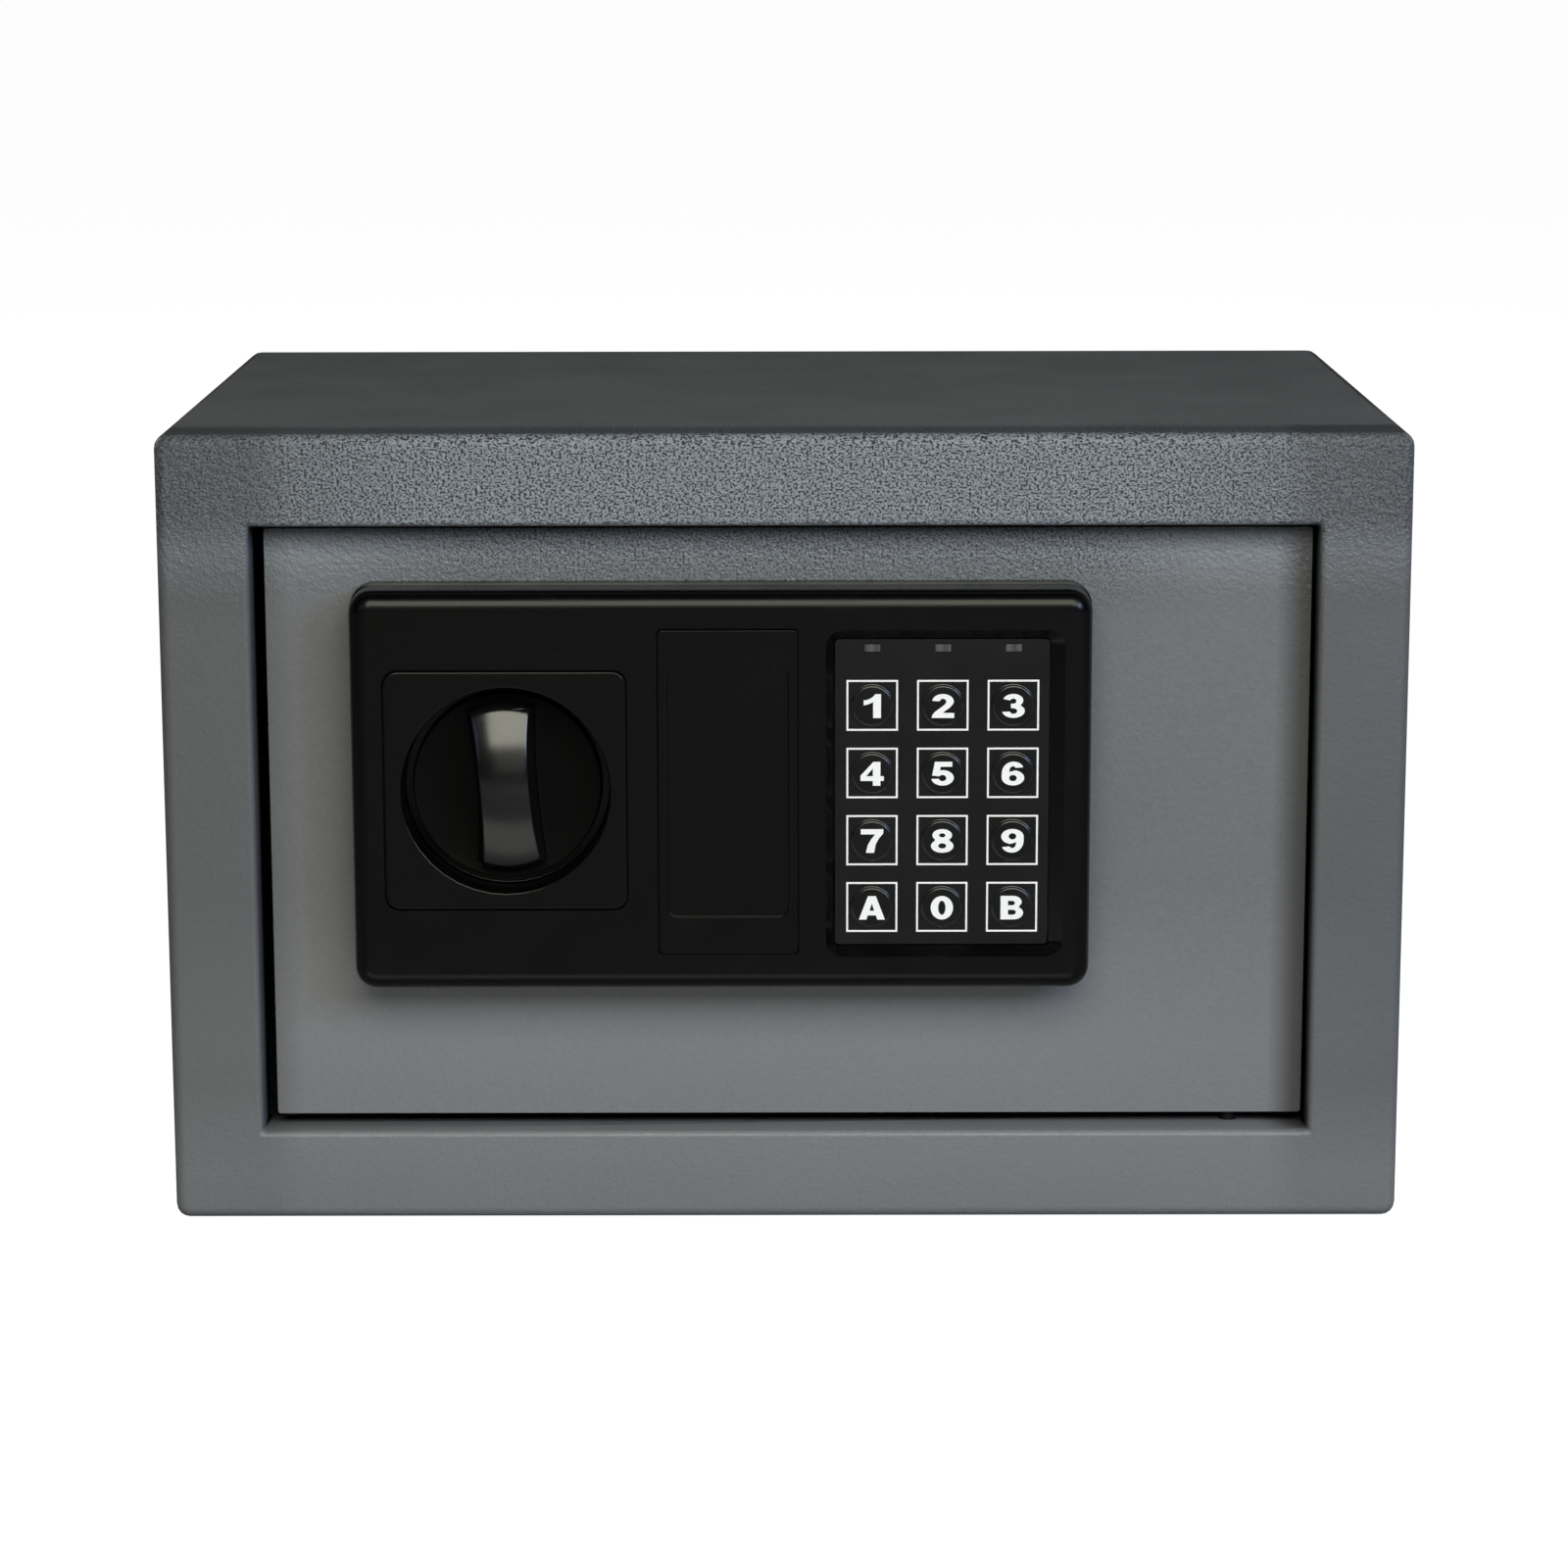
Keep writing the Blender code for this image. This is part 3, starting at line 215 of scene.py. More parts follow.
class Finish:
    """A Principled material under construction, with object coordinates in metres."""

    def __init__(self, name, colour, roughness, metallic=0.0, **sockets):
        self.material = bpy.data.materials.new(name)
        self.material.use_nodes = True
        self.tree = self.material.node_tree
        self.shader = self.tree.nodes["Principled BSDF"]
        self.colour = (*colour, 1)
        self.set("Base Color", self.colour)
        self.set("Roughness", roughness)
        self.set("Metallic", metallic)
        for label, value in sockets.items():
            self.set(label.replace("_", " "), value)
        self.place = self.tree.nodes.new("ShaderNodeTexCoord").outputs["Object"]
        self.last_normal = None

    def set(self, label, value):
        self.shader.inputs[label].default_value = value

    def link(self, output, socket):
        self.tree.links.new(output, socket)

    def stretched(self, scale):
        mapping = self.tree.nodes.new("ShaderNodeMapping")
        mapping.inputs["Scale"].default_value = scale
        self.link(self.place, mapping.inputs["Vector"])
        return mapping.outputs["Vector"]

    def noise(self, size, detail=2.0, roughness=0.5, stretch=None, distortion=0.0):
        """Noise whose grains are about this many metres across."""
        made = self.tree.nodes.new("ShaderNodeTexNoise")
        made.inputs["Scale"].default_value = 1 / size
        made.inputs["Detail"].default_value = detail
        made.inputs["Roughness"].default_value = roughness
        made.inputs["Distortion"].default_value = distortion
        self.link(self.stretched(stretch) if stretch else self.place, made.inputs["Vector"])
        return made.outputs["Fac"]

    def cells(self, size, feature="SMOOTH_F1"):
        made = self.tree.nodes.new("ShaderNodeTexVoronoi")
        made.feature = feature
        made.inputs["Scale"].default_value = 1 / size
        self.link(self.place, made.inputs["Vector"])
        return made.outputs["Distance"]

    def lines(self, spacing, direction="X", distortion=0.0):
        made = self.tree.nodes.new("ShaderNodeTexWave")
        made.bands_direction = direction
        made.inputs["Scale"].default_value = 1 / (spacing * 20)
        made.inputs["Distortion"].default_value = distortion
        self.link(self.place, made.inputs["Vector"])
        return made.outputs["Fac"]

    def between(self, fac, low, high, start=0.0, end=1.0):
        """The factor spread over start to end, as a number from low to high."""
        made = self.tree.nodes.new("ShaderNodeMapRange")
        made.inputs["From Min"].default_value = start
        made.inputs["From Max"].default_value = end
        made.inputs["To Min"].default_value = low
        made.inputs["To Max"].default_value = high
        self.link(fac, made.inputs["Value"])
        return made.outputs["Result"]

    def across(self, axis, low, high, start, end):
        """A number from low to high between two places along an axis, or two distances to the side."""
        split = self.tree.nodes.new("ShaderNodeSeparateXYZ")
        self.link(self.place, split.inputs["Vector"])
        if axis != "side":
            return self.between(split.outputs[axis], low, high, start, end)
        away = self.tree.nodes.new("ShaderNodeMath")
        away.operation = "ABSOLUTE"
        self.link(split.outputs["X"], away.inputs[0])
        return self.between(away.outputs[0], low, high, start, end)

    def times(self, first, second):
        made = self.tree.nodes.new("ShaderNodeMath")
        made.operation = "MULTIPLY"
        self.link(first, made.inputs[0])
        self.link(second, made.inputs[1])
        return made.outputs[0]

    def blend(self, fac, first, second):
        """Colours mixed by a factor. Each is a colour or another node's output."""
        made = self.tree.nodes.new("ShaderNodeMix")
        made.data_type = "RGBA"
        self.link(fac, made.inputs["Factor"])
        for value, socket in ((first, made.inputs[6]), (second, made.inputs[7])):
            if isinstance(value, tuple):
                socket.default_value = (*value[:3], 1)
            else:
                self.link(value, socket)
        return made.outputs[2]

    def colour_from(self, output):
        self.link(output, self.shader.inputs["Base Color"])
        return self

    def roughness_from(self, output):
        self.link(output, self.shader.inputs["Roughness"])
        return self

    def bump(self, height, depth, strength=1.0):
        """Adds relief of this depth in metres over what is there already."""
        made = self.tree.nodes.new("ShaderNodeBump")
        made.inputs["Strength"].default_value = strength
        made.inputs["Distance"].default_value = depth
        self.link(height, made.inputs["Height"])
        if self.last_normal:
            self.link(self.last_normal, made.inputs["Normal"])
        self.last_normal = made.outputs["Normal"]
        self.link(self.last_normal, self.shader.inputs["Normal"])
        return self


def shade(colour, factor):
    return tuple(min(1.0, value * factor) for value in colour[:3])


def powder_coat():
    """Grey textured paint, uneven in tone and gloss.

    The front is paler along its top, with a painted bluish sheen and dark specks painted where the
    sheen falls on the upper rail and above the panel, and paler along its bottom with painted light
    bounced from the floor. It has painted shade at the rail's ends and on the jambs, and painted
    shadow at the door's top and right edges. The case's top has painted shade too, a little darker.
    """
    grey = PAINT
    # Near black, for the dark specks painted into the sheen
    pit_in_sheen = shade(grey, 0.08)
    paint = Finish("grey_powder_coat", grey, 0.42)
    front = paint.across("Y", 1, 0, *FRONT_Y)
    clouds = paint.noise(0.09, 3)
    tone = paint.blend(
        paint.between(paint.noise(0.0011, 2), 0, 1, 0.35, 0.65),
        paint.blend(clouds, shade(grey, 0.90), shade(grey, 1.02)),
        paint.blend(clouds, shade(grey, 0.98), shade(grey, 1.10)),
    )
    # Painted shade: the case's top a little darker
    tone = paint.blend(paint.across("Z", 0, 0.24, *TOP_SHADE_Z), tone, shade(grey, 0.3))
    # Painted light: the front paler towards the bottom, as if lit from the floor
    lower = paint.times(front, paint.across("Z", 0.32, 0, *LOWER_LIGHT_Z))
    tone = paint.blend(lower, tone, shade(grey, 1.8))
    # Painted sheen: the upper front turns pale and bluish, as if lit by the lamps
    upper = paint.times(front, paint.across("Z", 0, 0.62, *UPPER_SHEEN_Z))
    tone = paint.blend(upper, tone, UPPER_SHEEN)
    # Dark specks painted only where the sheen falls: the paint's texture is real, but specks there alone
    # stand in for the sheen breaking up on it
    pits_in_sheen = paint.between(paint.noise(0.0005, 1, 0.5, stretch=(0.75, 1, 1)), 1, 0, 0.43, 0.49)
    rail = paint.times(front, paint.across("Z", 0.02, 0.95, *RAIL_SHEEN_Z))
    over_panel_sheen = paint.times(
        paint.across("Z", 0, 0.7, *OVER_PANEL_SHEEN_Z), paint.across("side", 1, 0, *OVER_PANEL_SHEEN_SIDE))
    door_face = paint.times(front, paint.across("Y", 0, 1, *DOOR_FACE_Y))
    tone = paint.blend(paint.times(pits_in_sheen, rail), tone, pit_in_sheen)
    tone = paint.blend(paint.times(pits_in_sheen, paint.times(door_face, over_panel_sheen)), tone, pit_in_sheen)
    # Painted shadow on the door along its right and top edges, cast by the recess walls
    right_edge_shadow = paint.across("X", 0, 0.60, *DOOR_RIGHT_SHADOW_X)
    top_edge_shadow = paint.across("Z", 0, 0.60, *DOOR_TOP_SHADOW_Z)
    for edge in (right_edge_shadow, top_edge_shadow):
        tone = paint.blend(paint.times(door_face, edge), tone, shade(grey, 0.15))
    # Painted shade at the rail's ends, where the light falls off
    rail_end_shade = paint.times(
        paint.across("side", 0, 0.55, *RAIL_END_SHADE_SIDE), paint.across("Z", 0, 1, *RAIL_END_SHADE_Z))
    tone = paint.blend(paint.times(front, rail_end_shade), tone, shade(grey, 0.4))
    # Painted shade on the jambs, where the light falls off to the sides
    jambs = paint.times(
        paint.across("side", 0, 0.47, *JAMB_SHADE_SIDE), paint.across("Z", 0.3, 1, *JAMB_SHADE_Z))
    paint.colour_from(paint.blend(paint.times(front, jambs), tone, shade(grey, 0.35)))
    paint.roughness_from(paint.between(paint.noise(0.03, 4), 0.36, 0.50, 0.3, 0.7))
    height = paint.across("Z", 0.18, 1.0, *COARSE_Z)
    relief = paint.blend(front, (0.35, 0.35, 0.35), height)
    paint.bump(paint.times(paint.noise(0.0014, 1.5), relief), 0.00065)
    paint.bump(paint.times(paint.noise(0.0008, 2, 0.6), relief), 0.00055)
    return paint.material


def moulded(name, colour, roughness, grain=0.0005, relief=0.00001, specular=0.5):
    """Moulded plastic with a fine texture and faint flow and handling marks."""
    plastic = Finish(name, colour, roughness)
    plastic.set("Specular IOR Level", specular)
    plastic.colour_from(
        plastic.blend(plastic.noise(0.02, 4), shade(colour, 0.8), shade(colour, 1.25)))
    plastic.roughness_from(plastic.between(
        plastic.noise(0.015, 6, 0.6), roughness * 0.82, roughness * 1.25, 0.3, 0.7))
    plastic.bump(plastic.noise(grain, 2), relief)
    return plastic.material


def steel(name, colour, roughness, along=(1, 1, 1)):
    """Bare or plated steel with drawing lines and patches of dull oxide."""
    metal = Finish(name, colour, roughness, 1.0)
    metal.colour_from(
        metal.blend(metal.noise(0.006, 5, 0.6), shade(colour, 0.72), shade(colour, 1.08)))
    metal.roughness_from(metal.between(
        metal.noise(0.0012, 3, 0.5, stretch=along), roughness * 0.95, roughness * 1.35, 0.2, 0.8))
    metal.bump(metal.noise(0.0009, 3, 0.6, stretch=along), 0.00001)
    return metal.material


def carpet():
    """Needle-felt carpet: tangled fibres of slightly different greys."""
    dark = (0.028, 0.029, 0.032)
    felt = Finish("needle_felt", dark, 0.95)
    felt.set("Sheen Weight", 0.35)
    felt.set("Sheen Roughness", 0.5)
    fibres = felt.noise(0.0008, 4, 0.7, distortion=1.5)
    felt.colour_from(felt.blend(fibres, shade(dark, 0.6), shade(dark, 2.2)))
    felt.bump(fibres, 0.0006)
    felt.bump(felt.cells(0.0021), 0.0005)
    return felt.material


def circuit_board():
    """Solder mask with pale copper tracks showing through."""
    mask = (0.012, 0.09, 0.035)
    board = Finish("circuit_board", mask, 0.35)
    tracks = board.between(board.lines(0.0011, "X", 2.0), 0, 1, 0.55, 0.65)
    board.colour_from(board.blend(tracks, mask, shade(mask, 1.9)))
    board.bump(tracks, 0.00003)
    return board.material


def winding():
    """Enamelled copper wire wound in close turns round an upright coil."""
    copper = (0.42, 0.16, 0.05)
    wire = Finish("copper_winding", copper, 0.35, 0.9)
    turns = wire.lines(0.0004, "Z")
    wire.colour_from(wire.blend(turns, shade(copper, 0.35), copper))
    wire.bump(turns, 0.00015)
    return wire.material


def cell_wrap():
    """A cell's printed film: dark body, a bright metal band at one end, no marks."""
    blue = (0.015, 0.045, 0.14)
    wrap = Finish("cell_wrap", blue, 0.28)
    band = wrap.across("Z", 0, 1, 0.1238, 0.1240)
    wrap.colour_from(wrap.blend(band, blue, (0.62, 0.50, 0.26)))
    wrap.roughness_from(wrap.between(wrap.noise(0.01, 4), 0.2, 0.4, 0.3, 0.7))
    return wrap.material


def smoked_lens():
    """Tinted window with fine upright ribs moulded in its back."""
    grey = (0.085, 0.085, 0.080)
    lens = Finish("smoked_lens", grey, 0.42)
    ribs = lens.lines(0.00045, "X", 0.6)
    lens.colour_from(lens.blend(ribs, shade(grey, 0.55), shade(grey, 1.10)))
    lens.bump(ribs, 0.000012)
    return lens.material


def white_print():
    """Screen-printed white ink, thin enough to vary a little."""
    white = (0.97, 0.97, 0.95)
    ink = Finish("white_print", white, 0.5)
    ink.colour_from(ink.blend(ink.noise(0.0012, 3), shade(white, 0.95), shade(white, 1.03)))
    ink.bump(ink.noise(0.0003, 2), 0.00001)
    return ink.material


FINISHES = {
    "case_paint": powder_coat(),
    "bare_steel": steel("satin_steel", (0.55, 0.55, 0.56), 0.30, (0.15, 1, 1)),
    "zinc": steel("zinc_plate", (0.60, 0.59, 0.54), 0.34),
    "brass": steel("brass", (0.62, 0.45, 0.18), 0.26),
    "black_plastic": moulded("black_abs", (0.0012, 0.0012, 0.0011), 0.24, 0.0005, 0.000005, 0.25),
    "gloss_plastic": moulded("polished_abs", (0.0038, 0.0038, 0.0038), 0.195, 0.004, 0.00001, 0.64),
    "keypad_plastic": moulded("keypad_overlay", (0.0062, 0.0060, 0.0060), 0.45, 0.0003, 0.000008, 0.22),
    "lens": smoked_lens(),
    "circuit_board": circuit_board(),
    "carpet": carpet(),
    "red_plastic": moulded("red_button", (0.50, 0.012, 0.010), 0.25),
    "cell_wrap": cell_wrap(),
    "copper": winding(),
    "rubber": moulded("black_rubber", (0.012, 0.012, 0.012), 0.6, 0.0008, 0.00003),
}
WHITE_PRINT = white_print()
# Painted shade: a darker, duller copy of the knob's plastic for its dish, which lies recessed in shade
KNOB_DISH_SHADE = moulded("knob_dish_painted_shade", (0.0012, 0.0012, 0.0012), 0.5, 0.0006, 0.00001, 0.08)
KEY_DOME = moulded("key_dome", (0.004, 0.004, 0.004), 0.32, 0.0006, 0.000004, 0.3)
KEY_RIM = moulded("key_rim", (0.004, 0.004, 0.004), 0.24, 0.0020, 0.000001, 0.9)
# Near black for the hinge pins: painted shade, so that where the lower pin shows in the gap below the
# door it is as dark as the shade there
SHADE_PAINTED_PIN = moulded("shade_painted_pin", (0.012, 0.012, 0.013), 0.5, 0.0008, 0.00002, 0.2)


# ---------------------------------------------------------------- shaping helpers

def smooth_edges(piece, width):
    """Rounds a piece's sharp edges with modifiers, after joining its loose triangles."""
    weld = piece.modifiers.new("Weld", "WELD")
    weld.merge_threshold = WELD
    flat = piece.modifiers.new("Flat faces", "DECIMATE")
    flat.decimate_type = "DISSOLVE"
    flat.angle_limit = math.radians(FLAT_ANGLE)
    if width:
        bevel = piece.modifiers.new("Edge radius", "BEVEL")
        bevel.width = width
        bevel.segments = 2
        bevel.limit_method = "ANGLE"
        bevel.angle_limit = math.radians(32)
        bevel.use_clamp_overlap = True
    flats = piece.modifiers.new("Flat faces lead", "WEIGHTED_NORMAL")
    flats.keep_sharp = True


def smooth_shading(mesh, angle=40):
    mesh.shade_smooth()
    mesh.set_sharp_from_angle(angle=math.radians(angle))


def wear(piece, finish):
    piece.data.materials.clear()
    piece.data.materials.append(finish)


def add_piece(name, mesh, finish, body, replaced=()):
    piece = bpy.data.objects.new(name, mesh)
    bpy.context.scene.collection.objects.link(piece)
    wear(piece, finish)
    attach(piece, body)
    if replaced:
        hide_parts(*replaced)
    return piece


def middle(name):
    low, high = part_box(name)
    return (Vector(low) + Vector(high)) / 2


def mesh_from(points, faces, name, angle=40):
    """A mesh whose faces point out, with points at the same place joined."""
    shape = bmesh.new()
    made = [shape.verts.new(point) for point in points]
    for face in faces:
        shape.faces.new([made[index] for index in face])
    bmesh.ops.remove_doubles(shape, verts=shape.verts, dist=MERGE)
    bmesh.ops.dissolve_degenerate(shape, edges=shape.edges, dist=MERGE)
    bmesh.ops.recalc_face_normals(shape, faces=shape.faces)
    mesh = bpy.data.meshes.new(name)
    shape.to_mesh(mesh)
    shape.free()
    smooth_shading(mesh, angle)
    return mesh


def turned(profile, centre, name, steps=96):
    """A closed solid turned about Y. The profile lists (radius, distance towards the front)."""
    points, faces = [], []
    count = len(profile)
    for step in range(steps):
        angle = 2 * math.pi * step / steps
        for radius, ahead in profile:
            points.append(centre + Vector((radius * math.cos(angle), -ahead, radius * math.sin(angle))))
    for step in range(steps):
        here, there = step * count, (step + 1) % steps * count
        for i in range(count - 1):
            faces.append((here + i, here + i + 1, there + i + 1, there + i))
    return mesh_from(points, faces, name)


def arc(centre, radius, start, end, steps):
    """Points (radius, ahead) round a circle between two angles in degrees."""
    turns = [math.radians(start + (end - start) * step / steps) for step in range(steps + 1)]
    return [(centre[0] + radius * math.cos(a), centre[1] + radius * math.sin(a)) for a in turns]


# ---------------------------------------------------------------- keypad

def oval(x, z, half_wide, half_tall, start, end):
    """Points round an ellipse between two angles in degrees."""
    steps = max(6, int(abs(end - start) / 9))
    turns = [math.radians(start + (end - start) * step / steps) for step in range(steps + 1)]
    return [(x + half_wide * math.cos(a), z + half_tall * math.sin(a)) for a in turns]


def ring(x, z, half_wide, half_tall):
    return oval(x, z, half_wide, half_tall, 0, 351)


SIX = [
    oval(0.44, 0.70, 0.39, 0.30, 12, 88) + oval(0.44, 0.50, 0.44, 0.50, 90, 178)
    + oval(0.43, 0.32, 0.43, 0.32, 182, 438)
    + [(0.28, 0.56), (0.31, 0.72), (0.38, 0.80), (0.47, 0.81), (0.54, 0.74)],
    ring(0.43, 0.31, 0.145, 0.13),
]
# Bold wide characters in a box one unit tall: an outer outline, then any holes
CHARACTERS = {
    "0": [ring(0.43, 0.5, 0.43, 0.5), ring(0.43, 0.5, 0.14, 0.30)],
    "1": [[(0.66, 0), (0.66, 1), (0.44, 1), (0.37, 0.90), (0.25, 0.81), (0.11, 0.755), (0, 0.74),
           (0, 0.53), (0.19, 0.58), (0.36, 0.67), (0.36, 0)]],
    "2": [oval(0.43, 0.69, 0.41, 0.31, 175, -20)
          + [(0.68, 0.42), (0.52, 0.30), (0.43, 0.21), (0.86, 0.21), (0.86, 0), (0, 0), (0.03, 0.13),
             (0.14, 0.27), (0.36, 0.44), (0.50, 0.56)]
          + oval(0.43, 0.68, 0.125, 0.125, -25, 172)],
    "3": [oval(0.42, 0.73, 0.38, 0.27, 168, -45) + oval(0.43, 0.29, 0.43, 0.29, 45, -172)
          + oval(0.43, 0.285, 0.14, 0.115, -168, 80)
          + [(0.33, 0.41), (0.33, 0.59)] + oval(0.42, 0.70, 0.12, 0.105, -75, 165)],
    "4": [[(0.47, 0), (0.76, 0), (0.76, 0.20), (0.89, 0.20), (0.89, 0.40), (0.76, 0.40), (0.76, 1),
           (0.49, 1), (0, 0.42), (0, 0.20), (0.47, 0.20)],
          [(0.47, 0.40), (0.22, 0.40), (0.47, 0.72)]],
    "5": [[(0.14, 1), (0.80, 1), (0.80, 0.79), (0.36, 0.79), (0.335, 0.635)]
          + oval(0.43, 0.325, 0.43, 0.325, 88, -172) + oval(0.43, 0.315, 0.14, 0.13, -168, 145)
          + [(0.03, 0.42)]],
    "6": SIX,
    "7": [[(0, 1), (0.86, 1), (0.86, 0.82), (0.70, 0.62), (0.57, 0.36), (0.51, 0), (0.20, 0),
           (0.27, 0.34), (0.40, 0.58), (0.55, 0.78), (0, 0.78)]],
    "8": [oval(0.43, 0.74, 0.375, 0.26, -45, 225) + oval(0.43, 0.285, 0.43, 0.285, 135, 405),
          ring(0.43, 0.735, 0.12, 0.085), ring(0.43, 0.29, 0.15, 0.11)],
    "9": [[(0.86 - x, 1 - z) for x, z in contour] for contour in SIX],
    "a": [[(0, 0), (0.29, 0), (0.345, 0.18), (0.655, 0.18), (0.71, 0), (1, 0), (0.65, 1), (0.35, 1)],
          [(0.41, 0.38), (0.59, 0.38), (0.50, 0.68)]],
    "b": [[(0, 0), (0.50, 0)] + oval(0.50, 0.28, 0.37, 0.28, -88, 55)
          + oval(0.48, 0.745, 0.33, 0.255, -45, 88) + [(0, 1)],
          [(0.29, 0.60), (0.45, 0.60)] + oval(0.45, 0.695, 0.10, 0.095, -80, 80) + [(0.29, 0.79)],
          [(0.29, 0.20), (0.47, 0.20)] + oval(0.47, 0.305, 0.12, 0.105, -80, 80) + [(0.29, 0.41)]],
}


def make_key(label):
    """A domed key that fills its hole, with a bold raised character on it."""
    body = f"key_{label}"
    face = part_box("keypad_plate")[0][1]
    centre = middle(body)
    centre.y = face
    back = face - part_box(body)[1][1] + KEY_BACK
    rim = KEY_CROWN + KEY_FILLET
    profile = [(0, KEY_RISE + 0.00012), (KEY_CROWN * 0.5, KEY_RISE + 0.00009)]
    profile += arc((KEY_CROWN, KEY_RISE - KEY_FILLET), KEY_FILLET, 88, 12, 6)
    profile += [(rim + 0.00006, 0.00008), (rim + 0.00016, 0), (KEY_RADIUS, 0)]
    profile += [(KEY_RADIUS, -0.0006), (KEY_FOOT, back), (0, back)]
    key = turned(profile, centre, body + "_cap")
    cap = add_piece(body + "_cap", key, KEY_DOME, body, (body,))
    cap.data.materials.append(KEY_RIM)
    for part in cap.data.polygons:
        part.material_index = int(-part.normal.y < KEY_FLAT)
    mark = character_mesh(label, body + "_mark", centre, face - KEY_RISE - LETTER_AHEAD)
    add_piece(body + "_mark", mark, WHITE_PRINT, body)


def character_mesh(label, name, centre, front):
    """A character's printed film, centred on a key with its back at this front."""
    outline = bpy.data.curves.new(name, "CURVE")
    outline.dimensions = "2D"
    outline.fill_mode = "BOTH"
    for contour in CHARACTERS[label]:
        spline = outline.splines.new("POLY")
        spline.points.add(len(contour) - 1)
        spline.use_cyclic_u = True
        for point, (x, z) in zip(spline.points, contour):
            point.co = (x, z, 0, 1)
    holder = bpy.data.objects.new(name, outline)
    bpy.context.scene.collection.objects.link(holder)
    bpy.context.view_layer.update()
    flat = bpy.data.meshes.new_from_object(holder)
    bpy.data.objects.remove(holder)
    shape = bmesh.new()
    shape.from_mesh(flat)
    across = [x for x, _ in CHARACTERS[label][0]]
    mid_x = (max(across) + min(across)) / 2
    for vert in shape.verts:
        x = (vert.co.x - mid_x) * LETTER_HEIGHT * LETTER_STRETCH
        z = (vert.co.y - 0.5) * LETTER_HEIGHT
        vert.co = (centre.x + x, front, centre.z + z)
    grown = bmesh.ops.extrude_face_region(shape, geom=list(shape.faces))["geom"]
    moved = [item for item in grown if isinstance(item, bmesh.types.BMVert)]
    bmesh.ops.translate(shape, verts=moved, vec=(0, -PRINT_THICKNESS, 0))
    bmesh.ops.recalc_face_normals(shape, faces=shape.faces)
    mark = bpy.data.meshes.new(name)
    shape.to_mesh(mark)
    shape.free()
    return mark


def make_key_frames():
    """The printed square round each key, all on the keypad plate."""
    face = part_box("keypad_plate")[0][1]
    points, faces = [], []
    outer, inner = FRAME_SIDE / 2, FRAME_SIDE / 2 - FRAME_LINE
    corners = ((-1, -1), (1, -1), (1, 1), (-1, 1))
    for label in KEY_LABELS:
        centre = middle(f"key_{label}")
        first = len(points)
        for half in (outer, inner):
            for y in (face - PRINT_THICKNESS, face - PRINT_LIFT):
                points += [(centre.x + half * u, y, centre.z + half * w) for u, w in corners]
        rings = (0, 4, 12, 8)
        for here, there in zip(rings, rings[1:] + rings[:1]):
            for i in range(4):
                j = (i + 1) % 4
                faces.append([first + k for k in (here + i, here + j, there + j, there + i)])
    frames = mesh_from(points, faces, "key_frames")
    add_piece("key_frames", frames, WHITE_PRINT, "door")


def make_lens(name):
    """An indicator window with chamfered edges, almost flush in the plate."""
    centre = middle(name)
    low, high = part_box(name)
    front, back = low[1] - LENS_AHEAD, high[1]
    points, faces = [], []
    corners = ((-1, -1), (1, -1), (1, 1), (-1, 1))
    for y, inset in ((front, LENS_CHAMFER), (front + LENS_CHAMFER, 0), (back, 0)):
        x, z = LENS_HALF_X - inset, LENS_HALF_Z - inset
        points += [(centre.x + u * x, y, centre.z + w * z) for u, w in corners]
    for first in (0, 4):
        for i in range(4):
            j = (i + 1) % 4
            faces.append((first + i, first + j, first + 4 + j, first + 4 + i))
    faces += [(0, 1, 2, 3), (8, 9, 10, 11)]
    mesh = mesh_from(points, faces, name)
    add_piece(name + "_window", mesh, FINISHES["lens"], "door", (name,))


# ---------------------------------------------------------------- knob

